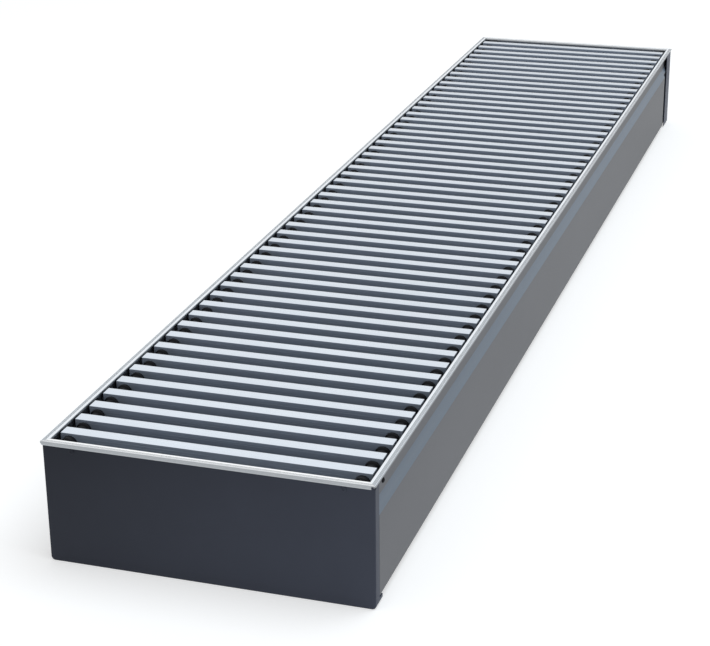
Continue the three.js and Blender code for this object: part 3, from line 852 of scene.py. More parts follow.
@dataclass(frozen=True)
class Plated(Finish):
    """Bright metal, such as zinc plate, nickel plate or drawn copper, slightly clouded."""

    cloud: float = 0.08

    def material(self) -> bpy.types.Material:
        """The plated metal as a material."""
        shader = Shader(self.slot.value)
        clouds = shader.noise(160.0, detail=6.0)
        grain = shader.noise(3000.0, detail=2.0)
        shader.feed(
            shader.surface,
            Base_Color=self.clouded(shader, clouds, 1 - self.cloud, 1 + self.cloud),
            Metallic=1.0,
            Roughness=self.uneven(shader, clouds, 0.06, 0.1),
        )
        shader.bump(grain, 0.15, 0.01 * MM)
        return shader.material


@dataclass(frozen=True)
class Moulded(Finish):
    """Moulded plastic or extruded rubber with a fine eroded grain."""

    grain_depth: float = 0.02 * MM
    specular: float = 0.5

    def material(self) -> bpy.types.Material:
        """The moulded plastic as a material."""
        shader = Shader(self.slot.value)
        grain = shader.noise(2400.0, detail=3.0)
        clouds = shader.noise(90.0, detail=3.0)
        shader.feed(
            shader.surface,
            Base_Color=self.clouded(shader, clouds, 0.92, 1.08),
            Metallic=0.0,
            Specular_IOR_Level=self.specular,
            Roughness=self.uneven(shader, grain, 0.05, 0.08),
        )
        shader.bump(grain, 0.3, self.grain_depth)
        return shader.material


class Look(Enum):
    """The heater's finishes."""

    # Powder coat of the end panels; its gradient is painted light and shade, lighter towards the bottom and
    # towards -Y.
    PANEL_PAINT = PowderCoat(
        Slot.PANEL_PAINT, (0.052, 0.059, 0.082), 0.5, drift=(0.0, -2.6, -3.0), specular=0.15
    )
    # Powder coat of the tray; its gradient is painted shade, darker towards the far end, and its
    # upward-slanting faces carry a painted sky reflection.
    TRAY_PAINT = PowderCoat(
        Slot.TRAY_PAINT, (0.055, 0.058, 0.068), 0.45, drift=(-0.45, 0.0, 0.0), slanted=(0.11, 0.145, 0.19)
    )
    # The long rails' aluminium, painted a darker tone than the same aluminium of the end rails and darker
    # still on its upright faces: painted shade.
    FRAME_ALONG = Anodised(
        Slot.FRAME_ALUMINIUM, (0.82, 0.86, 0.90), 0.32, grain=Axis.X, upright=(0.25, 0.265, 0.28)
    )
    # The end rails' aluminium, with the default painted shade on its upright faces.
    FRAME_ACROSS = Anodised(Slot.FRAME_ALUMINIUM, (0.95, 0.97, 1.0), 0.32, grain=Axis.Y)
    # The slats' aluminium, darker towards the far end and bluish darker on its upright faces: painted shade.
    SLAT = Anodised(
        Slot.SLAT_ALUMINIUM, (0.64, 0.70, 0.77), 0.24, drift=(-0.18, 0.0, 0.0), grain=Axis.Y,
        upright=(0.31, 0.36, 0.44), bare=0.35
    )
    SPACER = Moulded(Slot.SPACER_PLASTIC, (0.005, 0.0055, 0.007), 0.45, specular=0.12)
    RUBBER = Moulded(Slot.DAMPER_RUBBER, (0.016, 0.016, 0.018), 0.75, grain_depth=0.05 * MM)
    SPRING = Plated(Slot.SPRING_STEEL, (0.56, 0.57, 0.59), 0.28)
    FIN = Moulded(Slot.FIN_ALUMINIUM, (0.045, 0.048, 0.053), 0.42)
    COPPER = Plated(Slot.COPPER, (0.70, 0.40, 0.26), 0.30, cloud=0.15)
    NICKEL = Plated(Slot.NICKEL_BRASS, (0.60, 0.575, 0.52), 0.24)
    WHITE_PLASTIC = Moulded(Slot.WHITE_PLASTIC, (0.78, 0.78, 0.77), 0.35)
    BLACK_PLASTIC = Moulded(Slot.BLACK_PLASTIC, (0.020, 0.022, 0.026), 0.42)
    ZINC = Plated(Slot.ZINC_STEEL, (0.58, 0.60, 0.62), 0.32, cloud=0.1)


# ---------------------------------------------------------------- pieces


@dataclass(frozen=True)
class Piece:
    """A finished piece and the body that it rides on."""

    thing: bpy.types.Object
    body: str

    def report(self) -> None:
        """Logs the piece."""
        LOG.info("%s rides on %s, with %d faces", self.thing.name, self.body, len(self.thing.data.polygons))


@dataclass
class Workshop:
    """What every sub-assembly is made with: the recipes, and each finish made once."""

    recipes: Recipes = field(default_factory=Recipes)
    materials: dict[Look, bpy.types.Material] = field(default_factory=dict)

    def material(self, look: Look) -> bpy.types.Material:
        """The material of a finish, made when it is first needed."""
        if look not in self.materials:
            self.materials[look] = look.value.material()
        return self.materials[look]

    def seat(self, thing: bpy.types.Object, look: Look, *nodes: str, body: str = ROOT) -> Piece:
        """Dresses a piece and ties it to the frame.

        Args:
            thing: The piece's object.
            look: Its finish.
            *nodes: The nodes that it stands for.
            body: The body that it rides on.

        Returns:
            The finished piece.
        """
        mesh = thing.data
        mesh.materials.clear()
        mesh.materials.append(self.material(look))
        for face in mesh.polygons:
            face.material_index = 0
            face.use_smooth = True
        mesh.set_sharp_from_angle(angle=SMOOTH_ANGLE)
        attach(thing, body)
        if nodes:
            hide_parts(*nodes)
        return Piece(thing, body)

    def run(self, recipe: Recipe, thing: bpy.types.Object, look: Look, **inputs: object) -> bpy.types.Object:
        """Runs a recipe on an object, with a finish as its material."""
        return recipe.run(thing, Finish=self.material(look), **inputs)

    def copies(
        self,
        name: str,
        template: bpy.types.Object,
        places: Sequence[Vector],
        turns: Sequence[Vector],
        look: Look,
        *nodes: str,
    ) -> Piece:
        """Seats copies of a template as one piece of the root body. The template is used up.

        Args:
            name: Name of the piece's object.
            template: The shape to copy, made round the origin.
            places: Where each copy stands.
            turns: Each copy's turn, as an XYZ rotation in radians.
            look: Finish of the copies.
            *nodes: The nodes that they stand for.

        Returns:
            The finished piece.
        """
        points = make_object(name, places, [])
        attribute = points.data.attributes.new("turn", "FLOAT_VECTOR", "POINT")
        for value, turn in zip(attribute.data, turns, strict=True):
            value.vector = turn
        self.run(self.recipes.places, points, look, Template=template)
        discard(template)
        return self.seat(points, look, *nodes)


# ---------------------------------------------------------------- edge frame


@dataclass
class EdgeFrame:
    """The mitred aluminium frame with its angle plates and damping strips."""

    shop: Workshop
    strip_width: float = 5.4 * MM
    strip_thickness: float = 1.6 * MM
    lip_thickness: float = 1.4 * MM
    lip_height: float = 3.1 * MM
    lip_relief: float = 2.8 * MM
    lip_corner: float = 1.8 * MM
    leg_thickness: float = 1.0 * MM
    ledge_thickness: float = 1.4 * MM
    edge_round: float = 0.7 * MM
    inner_slope: float = 0.45 * MM
    groove_depth: float = 0.3 * MM
    groove_width: float = 0.5 * MM
    groove_pitch: float = 0.8 * MM
    grooved_width: float = 2.6 * MM
    mitre_gap: float = 0.06 * MM

    def section(self, has_lip: bool) -> list[Point]:
        """Section of the extrusion, as distance in from the outer face, and height.

        Args:
            has_lip: Whether the outer edge hangs down as a lip, as it does at the two ends.

        Returns:
            The closed outline.
        """
        rail = Room.of("frame_rail_right")
        top, bottom = rail.high.z, rail.low.z
        reach = rail.high.y - rail.low.y
        leg = self.strip_width - self.leg_thickness
        small, half = self.edge_round / 2, self.groove_width / 2
        edge = top - (self.lip_height if has_lip else self.strip_thickness)
        corners = []
        for step in (2, 1, 0):
            groove = self.grooved_width - (2 - step) * self.groove_pitch
            corners += [Corner(groove + half, top), Corner(groove, top - self.groove_depth),
                        Corner(groove - half, top)]
        corners.append(Corner(0, top, self.edge_round))
        if has_lip:
            middle = top - self.lip_height / 2
            for step in (0.5, -0.5):
                groove = middle + step * self.groove_pitch
                corners += [Corner(0, groove + half), Corner(self.groove_depth, groove),
                            Corner(0, groove - half)]
        corners += [Corner(0, edge, small)]
        if has_lip:
            corners += [Corner(self.lip_thickness, edge, small),
                        Corner(self.lip_thickness, top - self.strip_thickness)]
        corners += [
            Corner(leg, top - self.strip_thickness),
            Corner(leg, bottom, small),
            Corner(reach, bottom, small),
            Corner(reach, bottom + self.ledge_thickness, small),
            Corner(self.strip_width, bottom + self.ledge_thickness, small),
            Corner(self.strip_width, top - self.strip_thickness, small),
            Corner(self.strip_width - self.inner_slope, top, small),
        ]
        return rounded(corners)

    def rail(self, name: str, half_span: float, half_across: float, has_lip: bool) -> bpy.types.Object:
        """A rail along X whose ends are cut at 45 degrees.

        Args:
            name: Name of the object.
            half_span: Half of the frame's size along the rail.
            half_across: Half of the frame's size across it, where the outer face lies on the -Y side.
            has_lip: Whether the outer edge hangs down as a lip.

        Returns:
            The rail.
        """
        section = self.section(has_lip)
        vertices = [
            Vector((end * (half_span - inset - self.mitre_gap), inset - half_across, height))
            for end in (-1, 1)
            for inset, height in section
        ]
        return make_object(name, vertices, prism_faces(len(section)))

    def long_rail(self, side: Side) -> Piece:
        """One of the two rails along the tray."""
        room = Room.of(f"frame_rail_{side.label}")
        half_width = max(abs(room.low.y), abs(room.high.y))
        half_length = Room.of("frame_rail_far").high.x
        rail = self.rail(f"{side.label}_edge_rail", half_length, half_width, has_lip=False)
        if side is Side.LEFT:
            turn_about_z(rail, 180)
        return self.shop.seat(rail, Look.FRAME_ALONG, f"frame_rail_{side.label}")

    def end_rail(self, end: End) -> Piece:
        """One of the two rails across the tray, with its lip cut back at one corner."""
        half_length = Room.of("frame_rail_far").high.x
        half_width = Room.of("frame_rail_left").high.y
        top = Room.of("frame_rail_far").high.z
        rail = self.rail(f"{end.label}_edge_rail", half_width, half_length, has_lip=True)
        relief = block(
            "lip_relief",
            (half_width - self.lip_relief, -half_length - MM, top - 2 * self.lip_height),
            (half_width + MM, 2 * self.lip_thickness - half_length, top - self.lip_height / 4),
        )
        low, start = top - self.lip_height, -half_width
        cut, slope = self.lip_corner, self.lip_corner * 0.35
        outline = [(start - MM, low - MM), (start + cut, low), (start + slope, low + slope),
                   (start, low + cut), (start - MM, low + cut)]
        corner = draw_out("lip_corner", outline, Axis.Y, -half_length - MM,
                          self.lip_thickness - half_length + 0.2 * MM)
        turn_about_z(combine(rail, [relief, corner], "DIFFERENCE"), 90 * end.value)
        return self.shop.seat(rail, Look.FRAME_ACROSS, f"frame_rail_{end.label}")

    def angle_plate(self, end: End, side: Side) -> Piece:
        """An angle plate under a mitred corner."""
        node = f"corner_angle_{end.label}_{side.label}"
        room = Room.of(node)
        outer_x = room.high.x if end is End.FAR else room.low.x
        outer_y = room.high.y if side is Side.LEFT else room.low.y
        leg, width, bend = room.size.x, 5.5 * MM, 1.2 * MM
        plan = [(0, 0, bend), (leg, 0, bend), (leg, width, bend), (width, width, bend),
                (width, leg, bend), (0, leg, bend)]
        corners = [
            Corner(outer_x - end.value * a, outer_y - side.value * b, radius) for a, b, radius in plan
        ]
        plate = draw_out(f"angle_plate_{end.label}_{side.label}", rounded(corners), Axis.Z, room.low.z,
                         room.high.z)
        soften(plate, 0.12 * MM)
        return self.shop.seat(plate, Look.ZINC, node)

    def damper(self, side: Side) -> Piece:
        """A damping strip with two soft ribs on a ledge."""
        node = f"damper_strip_{side.label}"
        room = Room.of(node)
        rib = 0.9 * MM
        web = room.low.z + 0.6 * MM
        ribs = [room.low.y + 2 * rib, room.high.y - 2 * rib]
        corners = [Corner(room.low.y, room.low.z), Corner(room.high.y, room.low.z),
                   Corner(room.high.y, web, 0.2 * MM)]
        for middle in reversed(ribs):
            corners += [Corner(middle + rib, web), Corner(middle + rib / 2, room.high.z, rib / 3),
                        Corner(middle - rib / 2, room.high.z, rib / 3), Corner(middle - rib, web)]
        corners.append(Corner(room.low.y, web, 0.2 * MM))
        strip = draw_out(f"damping_strip_{side.label}", rounded(corners), Axis.X, room.low.x, room.high.x)
        return self.shop.seat(strip, Look.RUBBER, node)

    def build(self) -> list[Piece]:
        """Makes the whole frame."""
        pieces = [self.long_rail(side) for side in Side]
        pieces += [self.end_rail(end) for end in End]
        pieces += [self.angle_plate(end, side) for end in End for side in Side]
        pieces += [self.damper(side) for side in Side]
        return pieces


# ---------------------------------------------------------------- tray and end panels


@dataclass
class Casing:
    """The folded tray, its end panels and the rivets that hold them."""

    shop: Workshop
    sheet: float = 0.8 * MM
    fit_gap: float = 0.3 * MM
    bend: float = 1.8 * MM
    joggle_bend: float = 2.4 * MM
    band_height: float = 16.7 * MM
    joggle_height: float = 8.5 * MM
    joggle_depth: float = 3.5 * MM
    near_flange: float = 8.0 * MM
    far_flange: float = 25.0 * MM
    side_entry: float = 13.3 * MM
    foot_tab: float = 14.5 * MM
    panel_corner: float = 3.0 * MM
    panel_bend: float = 0.7 * MM
    bend_relief: float = 1.5 * MM
    lip_height: float = 3.1 * MM
    boss_wall: float = 3.0 * MM
    boss_height: float = 8.0 * MM
    rivet_radius: float = 2.0 * MM
    rivet_height: float = 0.8 * MM

    def level_places(self) -> list[Vector]:
        """Axes of the levelling screws, at the height of the tray's underside."""
        floor = Room.of("tray").low.z
        rooms = [Room.of(f"level_screw_{end.label}_{side.label}") for end in End for side in Side]
        return [Vector((room.centre.x, room.centre.y, floor)) for room in rooms]

    def tray(self) -> Piece:
        """The folded tray, cut for the end panels, the side entries and the levelling bosses."""
        room = Room.of("tray")
        top = Room.of("frame_rail_right").high.z
        wall = room.high.y
        band = wall - self.joggle_depth
        joggle_top = top - self.band_height
        half = [
            Corner(-band, room.high.z),
            Corner(-band, joggle_top, self.joggle_bend),
            Corner(-wall, joggle_top - self.joggle_height, self.joggle_bend),
            Corner(-wall, room.low.z, self.bend),
        ]
        path = half + [Corner(-corner.a, corner.b, corner.radius) for corner in reversed(half)]
        tray = draw_out("folded_tray", folded(path, self.sheet), Axis.X, room.low.x, room.high.x)
        near = Room.of("end_panel_near").low.x + self.near_flange + self.fit_gap
        far = Room.of("end_panel_far").high.x - self.far_flange - self.side_entry
        inner = wall - 2 * self.sheet
        cuts = []
        for side in Side:
            low_y, high_y = sorted((side.value * inner, side.value * (wall + MM)))
            cuts.append(block("near_cut", (room.low.x - MM, low_y, 0), (near, high_y, joggle_top)))
            cuts.append(block("far_cut", (far, low_y, 0), (room.high.x + MM, high_y, joggle_top)))
        hole = Room.of("level_screw_near_right").size.x / 2 + self.fit_gap
        for place in self.level_places():
            cuts.append(bar("boss_hole", hole, (-MM, 2 * MM), Axis.Z, place, 40))
        combine(tray, cuts, "DIFFERENCE")
        return self.shop.seat(tray, Look.TRAY_PAINT, "tray")

    def bosses(self) -> Piece:
        """Threaded bosses pressed into the tray floor, under the levelling screws."""
        hole = Room.of("level_screw_near_right").size.x / 2 + self.fit_gap / 2
        outer = hole + self.boss_wall
        chamfer = 0.6 * MM
        profile = [(hole, 0.0), (outer - chamfer, 0.0), (outer, chamfer),
                   (outer, self.boss_height - chamfer), (outer - chamfer, self.boss_height),
                   (hole + chamfer, self.boss_height), (hole, self.boss_height - chamfer)]
        template = turned("boss", profile, Axis.Z, Vector(), segments=40, ring=True)
        places = self.level_places()
        turns = [Vector()] * len(places)
        return self.shop.copies("threaded_bosses", template, places, turns, Look.ZINC)

    def panel_blank(self, reach: float) -> bpy.types.Object:
        """A solid with the panel's outline at the plain end, its front edges bent round.

        Args:
            reach: How far the flanges and tabs run back from the face.

        Returns:
            The blank.
        """
        room = Room.of("end_panel_near")
        lip_bottom = Room.of("frame_rail_near").high.z - self.lip_height
        side, top = room.high.y, room.high.z
        tongue = Room.of("tray").high.y - self.joggle_depth + self.sheet + self.fit_gap
        tongue = min(tongue + MM, side)
        shoulder = lip_bottom - self.fit_gap
        corners = [
            Corner(tongue, top), Corner(-tongue, top), Corner(-tongue, shoulder), Corner(-side, shoulder),
            Corner(-side, 0, self.panel_corner), Corner(side, 0, self.panel_corner),
            Corner(side, shoulder), Corner(tongue, shoulder),
        ]
        blank = draw_out("panel_blank", rounded(corners, steps=8), Axis.X, room.low.x, room.low.x + reach)
        shape = bmesh.new()
        shape.from_mesh(blank.data)
        front = [
            edge
            for edge in shape.edges
            if all(abs(vertex.co.x - room.low.x) < MERGE_DISTANCE for vertex in edge.verts)
            and all(vertex.co.z < shoulder + MERGE_DISTANCE for vertex in edge.verts)
            and not all(abs(vertex.co.z - shoulder) < MERGE_DISTANCE for vertex in edge.verts)
        ]
        bmesh.ops.bevel(shape, geom=front, offset=self.panel_bend, segments=4, profile=0.5, affect="EDGES")
        shape.to_mesh(blank.data)
        shape.free()
        return blank

    def panel(self, end: End) -> Piece:
        """An end panel with its side flanges, foot tabs and the shelf under the tray floor."""
        room = Room.of("end_panel_near")
        flange = self.near_flange if end is End.NEAR else self.far_flange
        face = room.low.x
        reach = max(flange, self.foot_tab)
        panel = self.panel_blank(reach)
        back = face + reach + MM
        inner = room.high.y - self.sheet
        outer = room.high.y + MM
        shelf = Room.of("tray").low.z - self.fit_gap
        shoulder = Room.of("frame_rail_near").high.z - self.lip_height - self.fit_gap
        top = room.high.z + MM
        cuts = [
            block("over_shelf", (face + self.sheet, -inner, shelf), (back, inner, top)),
            block("under_shelf", (face + self.sheet, -inner, -MM), (back, inner, shelf - self.sheet)),
            block("behind_shelf", (face + self.foot_tab, -inner, -2 * MM), (back, inner, shelf + MM)),
            block("behind_flange", (face + flange, -outer, shelf), (back, outer, top)),
            block("behind_tongue", (face + self.sheet, -outer, shoulder), (back, outer, top)),
        ]
        combine(panel, cuts, "DIFFERENCE")
        tops = []
        for side in Side:
            low_y, high_y = sorted((side.value * inner, side.value * room.high.y))
            tops.append(block("flange_top", (face + self.bend_relief, low_y, shoulder - 2 * MM),
                              (face + flange, high_y, room.high.z)))
        combine(panel, tops, "UNION")
        soften(panel, 0.1 * MM, segments=1)
        panel.name = f"panel_{end.label}"
        if end is End.FAR:
            turn_about_z(panel, 180)
        return self.shop.seat(panel, Look.PANEL_PAINT, f"end_panel_{end.label}")

    def rivets(self) -> Piece:
        """Blind rivets through both panels, with their broken mandrels in the heads."""
        crown = self.rivet_height
        mandrel = 0.75 * MM
        profile = [
            (0.0, crown * 0.55), (mandrel, crown * 0.55), (mandrel * 1.15, crown * 0.95),
            (self.rivet_radius * 0.62, crown), (self.rivet_radius * 0.88, crown * 0.72),
            (self.rivet_radius, crown * 0.25), (self.rivet_radius, 0.0), (0.0, 0.0),
        ]
        template = turned("rivet", profile, Axis.Z, Vector(), segments=28)
        places, turns, nodes = [], [], []
        for end in End:
            for side in Side:
                node = f"rivet_{end.label}_{side.label}"
                room = Room.of(node)
                face = Room.of(f"end_panel_{end.label}")
                x = face.low.x if end is End.NEAR else face.high.x
                places.append(Vector((x, room.centre.y, room.centre.z)))
                turns.append(Vector((0.0, end.value * math.pi / 2, 0.0)))
                nodes.append(node)
        return self.shop.copies("blind_rivets", template, places, turns, Look.PANEL_PAINT, *nodes)

    def band_screws(self) -> Piece:
        """Small pan head screws through the tray's upper bands near the four corners."""
        tray = Room.of("tray")
        from_end, height = 29.0 * MM, 80.0 * MM
        radius, crown, recess = 1.9 * MM, 1.1 * MM, 0.8 * MM
        profile = [
            (0.0, crown * 0.4), (recess * 0.5, crown * 0.4), (recess, crown * 0.98),
            (radius * 0.6, crown), (radius * 0.92, crown * 0.62), (radius, crown * 0.15), (radius, 0.0),
            (0.0, 0.0),
        ]
        template = turned("screw", profile, Axis.Z, Vector(), segments=24)
        band = tray.high.y - self.joggle_depth
        half = Room.of("frame_rail_far").high.x
        spots = [(end, side) for end in End for side in Side]
        places = [Vector((end.value * (half - from_end), side.value * band, height)) for end, side in spots]
        turns = [Vector((-side.value * math.pi / 2, 0.0, 0.0)) for _, side in spots]
        return self.shop.copies("band_screws", template, places, turns, Look.SPACER)

    def build(self) -> list[Piece]:
        """Makes the tray, both panels and their fasteners."""
        return [self.tray(), self.bosses(), *(self.panel(end) for end in End), self.rivets(),
                self.band_screws()]


# ---------------------------------------------------------------- roll-up grille


@dataclass
class Grille:
    """The roll-up grille: slats, spacers, end caps and the springs that string them."""

    shop: Workshop
    rolling: int = 6
    slat_wall: float = 1.4 * MM
    slat_round: float = 0.15 * MM
    spacer_radius: float = 5.5 * MM
    spacer_waist: float = 4.3 * MM
    spacer_flange: float = 2.6 * MM
    spacer_bore: float = 1.9 * MM
    cap_length: float = 5.0 * MM
    play: float = 0.12 * MM
    coil_radius: float = 1.3 * MM
    wire_radius: float = 0.3 * MM
    coil_pitch: float = 2.2 * MM

    @property
    def slat_width(self) -> float:
        """Width of a slat along X."""
        return Room.of("slat_01").size.x

    @property
    def pitch(self) -> float:
        """Distance from slat to slat."""
        return Room.of("slat_02").centre.x - Room.of("slat_01").centre.x

    @property
    def first(self) -> float:
        """Middle of the mat's first slat."""
        return Room.of("grille_mat").low.x + self.slat_width / 2

    @property
    def count(self) -> int:
        """Number of slats in the mat."""
        span = Room.of("grille_mat").size.x - self.cap_length - self.slat_width
        return round(span / self.pitch) + 1

    def string(self, side: Side) -> Vector:
        """A point on a string's axis, at x = 0."""
        room = Room.of(f"spacer_{side.label}_01")
        return Vector((0.0, room.centre.y, room.centre.z))

    def slat(self, name: str) -> bpy.types.Object:
        """A slat with its middle at x = 0: a channel with softly rounded edges."""
        room = Room.of("slat_01")
        half, inner = self.slat_width / 2, self.slat_width / 2 - self.slat_wall
        small = self.slat_round / 2
        top, bottom = room.high.z, room.low.z
        corners = [
            Corner(-half, bottom, small), Corner(-inner, bottom, small),
            Corner(-inner, top - self.slat_wall, self.slat_round),
            Corner(inner, top - self.slat_wall, self.slat_round),
            Corner(inner, bottom, small), Corner(half, bottom, small),
            Corner(half, top, self.slat_round), Corner(-half, top, self.slat_round),
        ]
        outline = rounded(corners, steps=3)
        return draw_out(name, outline, Axis.Y, room.low.y, room.high.y)

    def spool(self, name: str, side: Side) -> bpy.types.Object:
        """A spacer with its middle at x = 0: a bored spool with two flanges and a waist.

        Args:
            name: Name of the object.
            side: The string that it is on.

        Returns:
            The spacer.
        """
        half, edge = (self.pitch - self.slat_width - 2 * self.play) / 2, 0.4 * MM
        flange = min(self.spacer_flange, half / 2)
        radius = self.spacer_radius
        profile = [
            (self.spacer_bore, -half), (radius - edge, -half), (radius, edge - half),
            (radius, flange - half - edge), (radius - edge, flange - half),
            (self.spacer_waist, flange - half + edge),
            (self.spacer_waist, half - flange - edge),
            (radius - edge, half - flange), (radius, half - flange + edge), (radius, half - edge),
            (radius - edge, half), (self.spacer_bore, half),
        ]
        return turned(name, profile, Axis.X, self.string(side), segments=20, ring=True)

    def cap(self, name: str, x: float, side: Side, outward: int) -> bpy.types.Object:
        """An end cap that closes a string outside the outermost slat.

        Args:
            name: Name of the object.
            x: Face of the slat that the cap sits on.
            side: The string that it is on.
            outward: Sign of the way out along X.

        Returns:
            The cap.
        """
        length, radius, crown = self.cap_length, self.spacer_radius, 0.9 * MM
        profile = [(0.0, 0.0), (radius, 0.0), (radius, length - crown), (radius - crown, length),
                   (radius * 0.4, length), (radius * 0.3, length - crown / 2), (0.0, length - crown / 2)]
        centre = self.string(side) + Vector((x, 0.0, 0.0))
        shape = [(spoke, outward * along) for spoke, along in profile]
        return turned(name, shape, Axis.X, centre, segments=24)

    def coil(self, name: str, start: float, end: float, side: Side) -> bpy.types.Object:
        """A stretch of a tension spring.

        Args:
            name: Name of the object.
            start: Where it starts along X.
            end: Where it ends.
            side: The string that it is.

        Returns:
            The coil.
        """
        return self.shop.run(
            self.shop.recipes.coil,
            make_object(name, [Vector()], []),
            Look.SPRING,
            Turns=(end - start) / self.coil_pitch,
            Coil_radius=self.coil_radius,
            Wire_radius=self.wire_radius,
            Length=end - start,
            Place=tuple(self.string(side) + Vector((start, 0.0, 0.0))),
        )

    def link(self, number: int) -> list[Piece]:
        """A slat of the roll with its two spacers and its stretches of spring."""
        body, tag = f"slat_link_{number:02d}", f"{number:02d}"
        room = Room.of(f"slat_{tag}")
        middle = Vector((room.centre.x, 0.0, 0.0))
        slat = moved(self.slat(f"cross_slat_{tag}"), middle)
        pieces = [self.shop.seat(slat, Look.SLAT, f"slat_{tag}", body=body)]
        offset = middle + Vector((self.pitch / 2, 0.0, 0.0))
        for side in Side:
            spool = moved(self.spool(f"spool_{side.label}_{tag}", side), offset)
            pieces.append(self.shop.seat(spool, Look.SPACER, f"spacer_{side.label}_{tag}", body=body))
            start, end = room.low.x + self.play, room.low.x + self.pitch - self.play
            coil = self.coil(f"coil_{side.label}_{tag}", start, end, side)
            pieces.append(self.shop.seat(coil, Look.SPRING, body=body))
        return pieces

    def near_caps(self) -> list[Piece]:
        """The end caps outside the first slat."""
        face = Room.of("slat_01").low.x - self.play
        pieces = []
        for side in Side:
            cap = self.cap(f"string_cap_near_{side.label}", face, side, -1)
            pieces.append(self.shop.seat(cap, Look.SPACER, f"end_cap_{side.label}", body="slat_link_01"))
        return pieces

    def mat(self) -> list[Piece]:
        """The slats past the roll, with their spacers, far caps and springs."""
        shop, row = self.shop, self.shop.recipes.row
        slats = self.slat("cross_slats")
        shop.run(row, slats, Look.SLAT, Count=self.count, Start=self.first, Pitch=self.pitch)
        pieces = [shop.seat(slats, Look.SLAT, "grille_mat", body="grille")]
        last_face = self.first + (self.count - 1) * self.pitch + self.slat_width / 2
        for side in Side:
            spools = self.spool(f"spool_row_{side.label}", side)
            start = self.first + self.pitch / 2
            shop.run(row, spools, Look.SPACER, Count=self.count - 1, Start=start, Pitch=self.pitch)
            cap = self.cap(f"string_cap_far_{side.label}", last_face, side, 1)
            node = f"grille_spring_{side.label}"
            coil = self.coil(f"spring_{side.label}", Room.of(node).low.x, last_face, side)
            pieces += [
                shop.seat(spools, Look.SPACER, body="grille"),
                shop.seat(cap, Look.SPACER, body="grille"),
                shop.seat(coil, Look.SPRING, node, body="grille"),
            ]
        return pieces

    def build(self) -> list[Piece]:
        """Makes the whole grille."""
        pieces = self.mat()
        for number in range(1, self.rolling + 1):
            pieces += self.link(number)
        return pieces + self.near_caps()


# ---------------------------------------------------------------- heat exchanger


@dataclass
class Exchanger:
    """The copper hairpin with its fins and brackets."""

    shop: Workshop
    spacing: float = 50.0 * MM
    tube_radius: float = 7.5 * MM
    fin_pitch: float = 5.0 * MM
    fin_sheet: float = 0.25 * MM
    fin_wave: float = 0.5 * MM
    fin_folds: int = 8
    collar_radius: float = 8.5 * MM
    collar_length: float = 3.2 * MM
    bracket_sheet: float = 1.2 * MM
    bracket_bend: float = 1.6 * MM

    def tube(self) -> Piece:
        """The hairpin tube, as a pipe on its path."""
        room = Room.of("exchanger_tube")
        radius = self.spacing / 2
        height = room.centre.z
        bend = room.low.x + radius + self.tube_radius
        points = [Vector((room.high.x, -radius, height))]
        steps = 24
        for step in range(steps + 1):
            angle = math.pi * step / steps
            points.append(Vector((bend - radius * math.sin(angle), -radius * math.cos(angle), height)))
        points.append(Vector((room.high.x, radius, height)))
        mesh = bpy.data.meshes.new("hairpin_tube")
        mesh.from_pydata(points, [(index, index + 1) for index in range(len(points) - 1)], [])
        tube = link("hairpin_tube", mesh)
        self.shop.run(self.shop.recipes.pipe, tube, Look.COPPER, Radius=self.tube_radius, Sides=28)
        return self.shop.seat(tube, Look.COPPER, "exchanger_tube")

    def fin(self) -> bpy.types.Object:
        """A fin at x = 0: a pleated plate with a collar round each tube run."""
        room = Room.of("exchanger_fins")
        width = room.size.y
        folds = [
            Corner(self.fin_wave * (step % 2 - 0.5), room.low.y + width * step / self.fin_folds)
            for step in range(self.fin_folds + 1)
        ]
        plate = draw_out("fin_plate", folded(folds, self.fin_sheet), Axis.Z, room.low.z, room.high.z)
        middles = [Vector((0.0, side.value * self.spacing / 2, room.centre.z)) for side in Side]
        collars = [bar("collar", self.collar_radius, (0.0, self.collar_length), Axis.X, middle, 14)
                   for middle in middles]
        return gather("fin_pack", [plate, *collars])

    def fins(self) -> Piece:
        """The fin pack at its close pitch."""
        room = Room.of("exchanger_fins")
        fin = self.fin()
        count = int(room.size.x / self.fin_pitch)
        start = room.centre.x - (count - 1) * self.fin_pitch / 2
        self.shop.run(self.shop.recipes.row, fin, Look.FIN, Count=count, Start=start, Pitch=self.fin_pitch)
        return self.shop.seat(fin, Look.FIN, "exchanger_fins")

    def bracket(self, end: End) -> Piece:
        """A bracket with its foot turned away from the fins."""
        node = f"exchanger_bracket_{end.label}"
        room = Room.of(node)
        plate, toe = (room.high.x, room.low.x) if end is End.NEAR else (room.low.x, room.high.x)
        path = [Corner(toe, room.low.z), Corner(plate, room.low.z, self.bracket_bend),
                Corner(plate, room.high.z)]
        outline = folded(path, -end.value * self.bracket_sheet)
        bracket = draw_out(f"tube_bracket_{end.label}", outline, Axis.Y, room.low.y, room.high.y)
        height = Room.of("exchanger_tube").centre.z
        hole, reach = self.tube_radius + 0.3 * MM, 3 * MM
        middles = [Vector((plate, side.value * self.spacing / 2, height)) for side in Side]
        drills = [bar("tube_hole", hole, (-reach, reach), Axis.X, middle, 36) for middle in middles]
        combine(bracket, drills, "DIFFERENCE")
        soften(bracket, 0.1 * MM, segments=1)
        return self.shop.seat(bracket, Look.ZINC, node)

    def build(self) -> list[Piece]:
        """Makes the exchanger."""
        return [self.tube(), self.fins(), *(self.bracket(end) for end in End)]


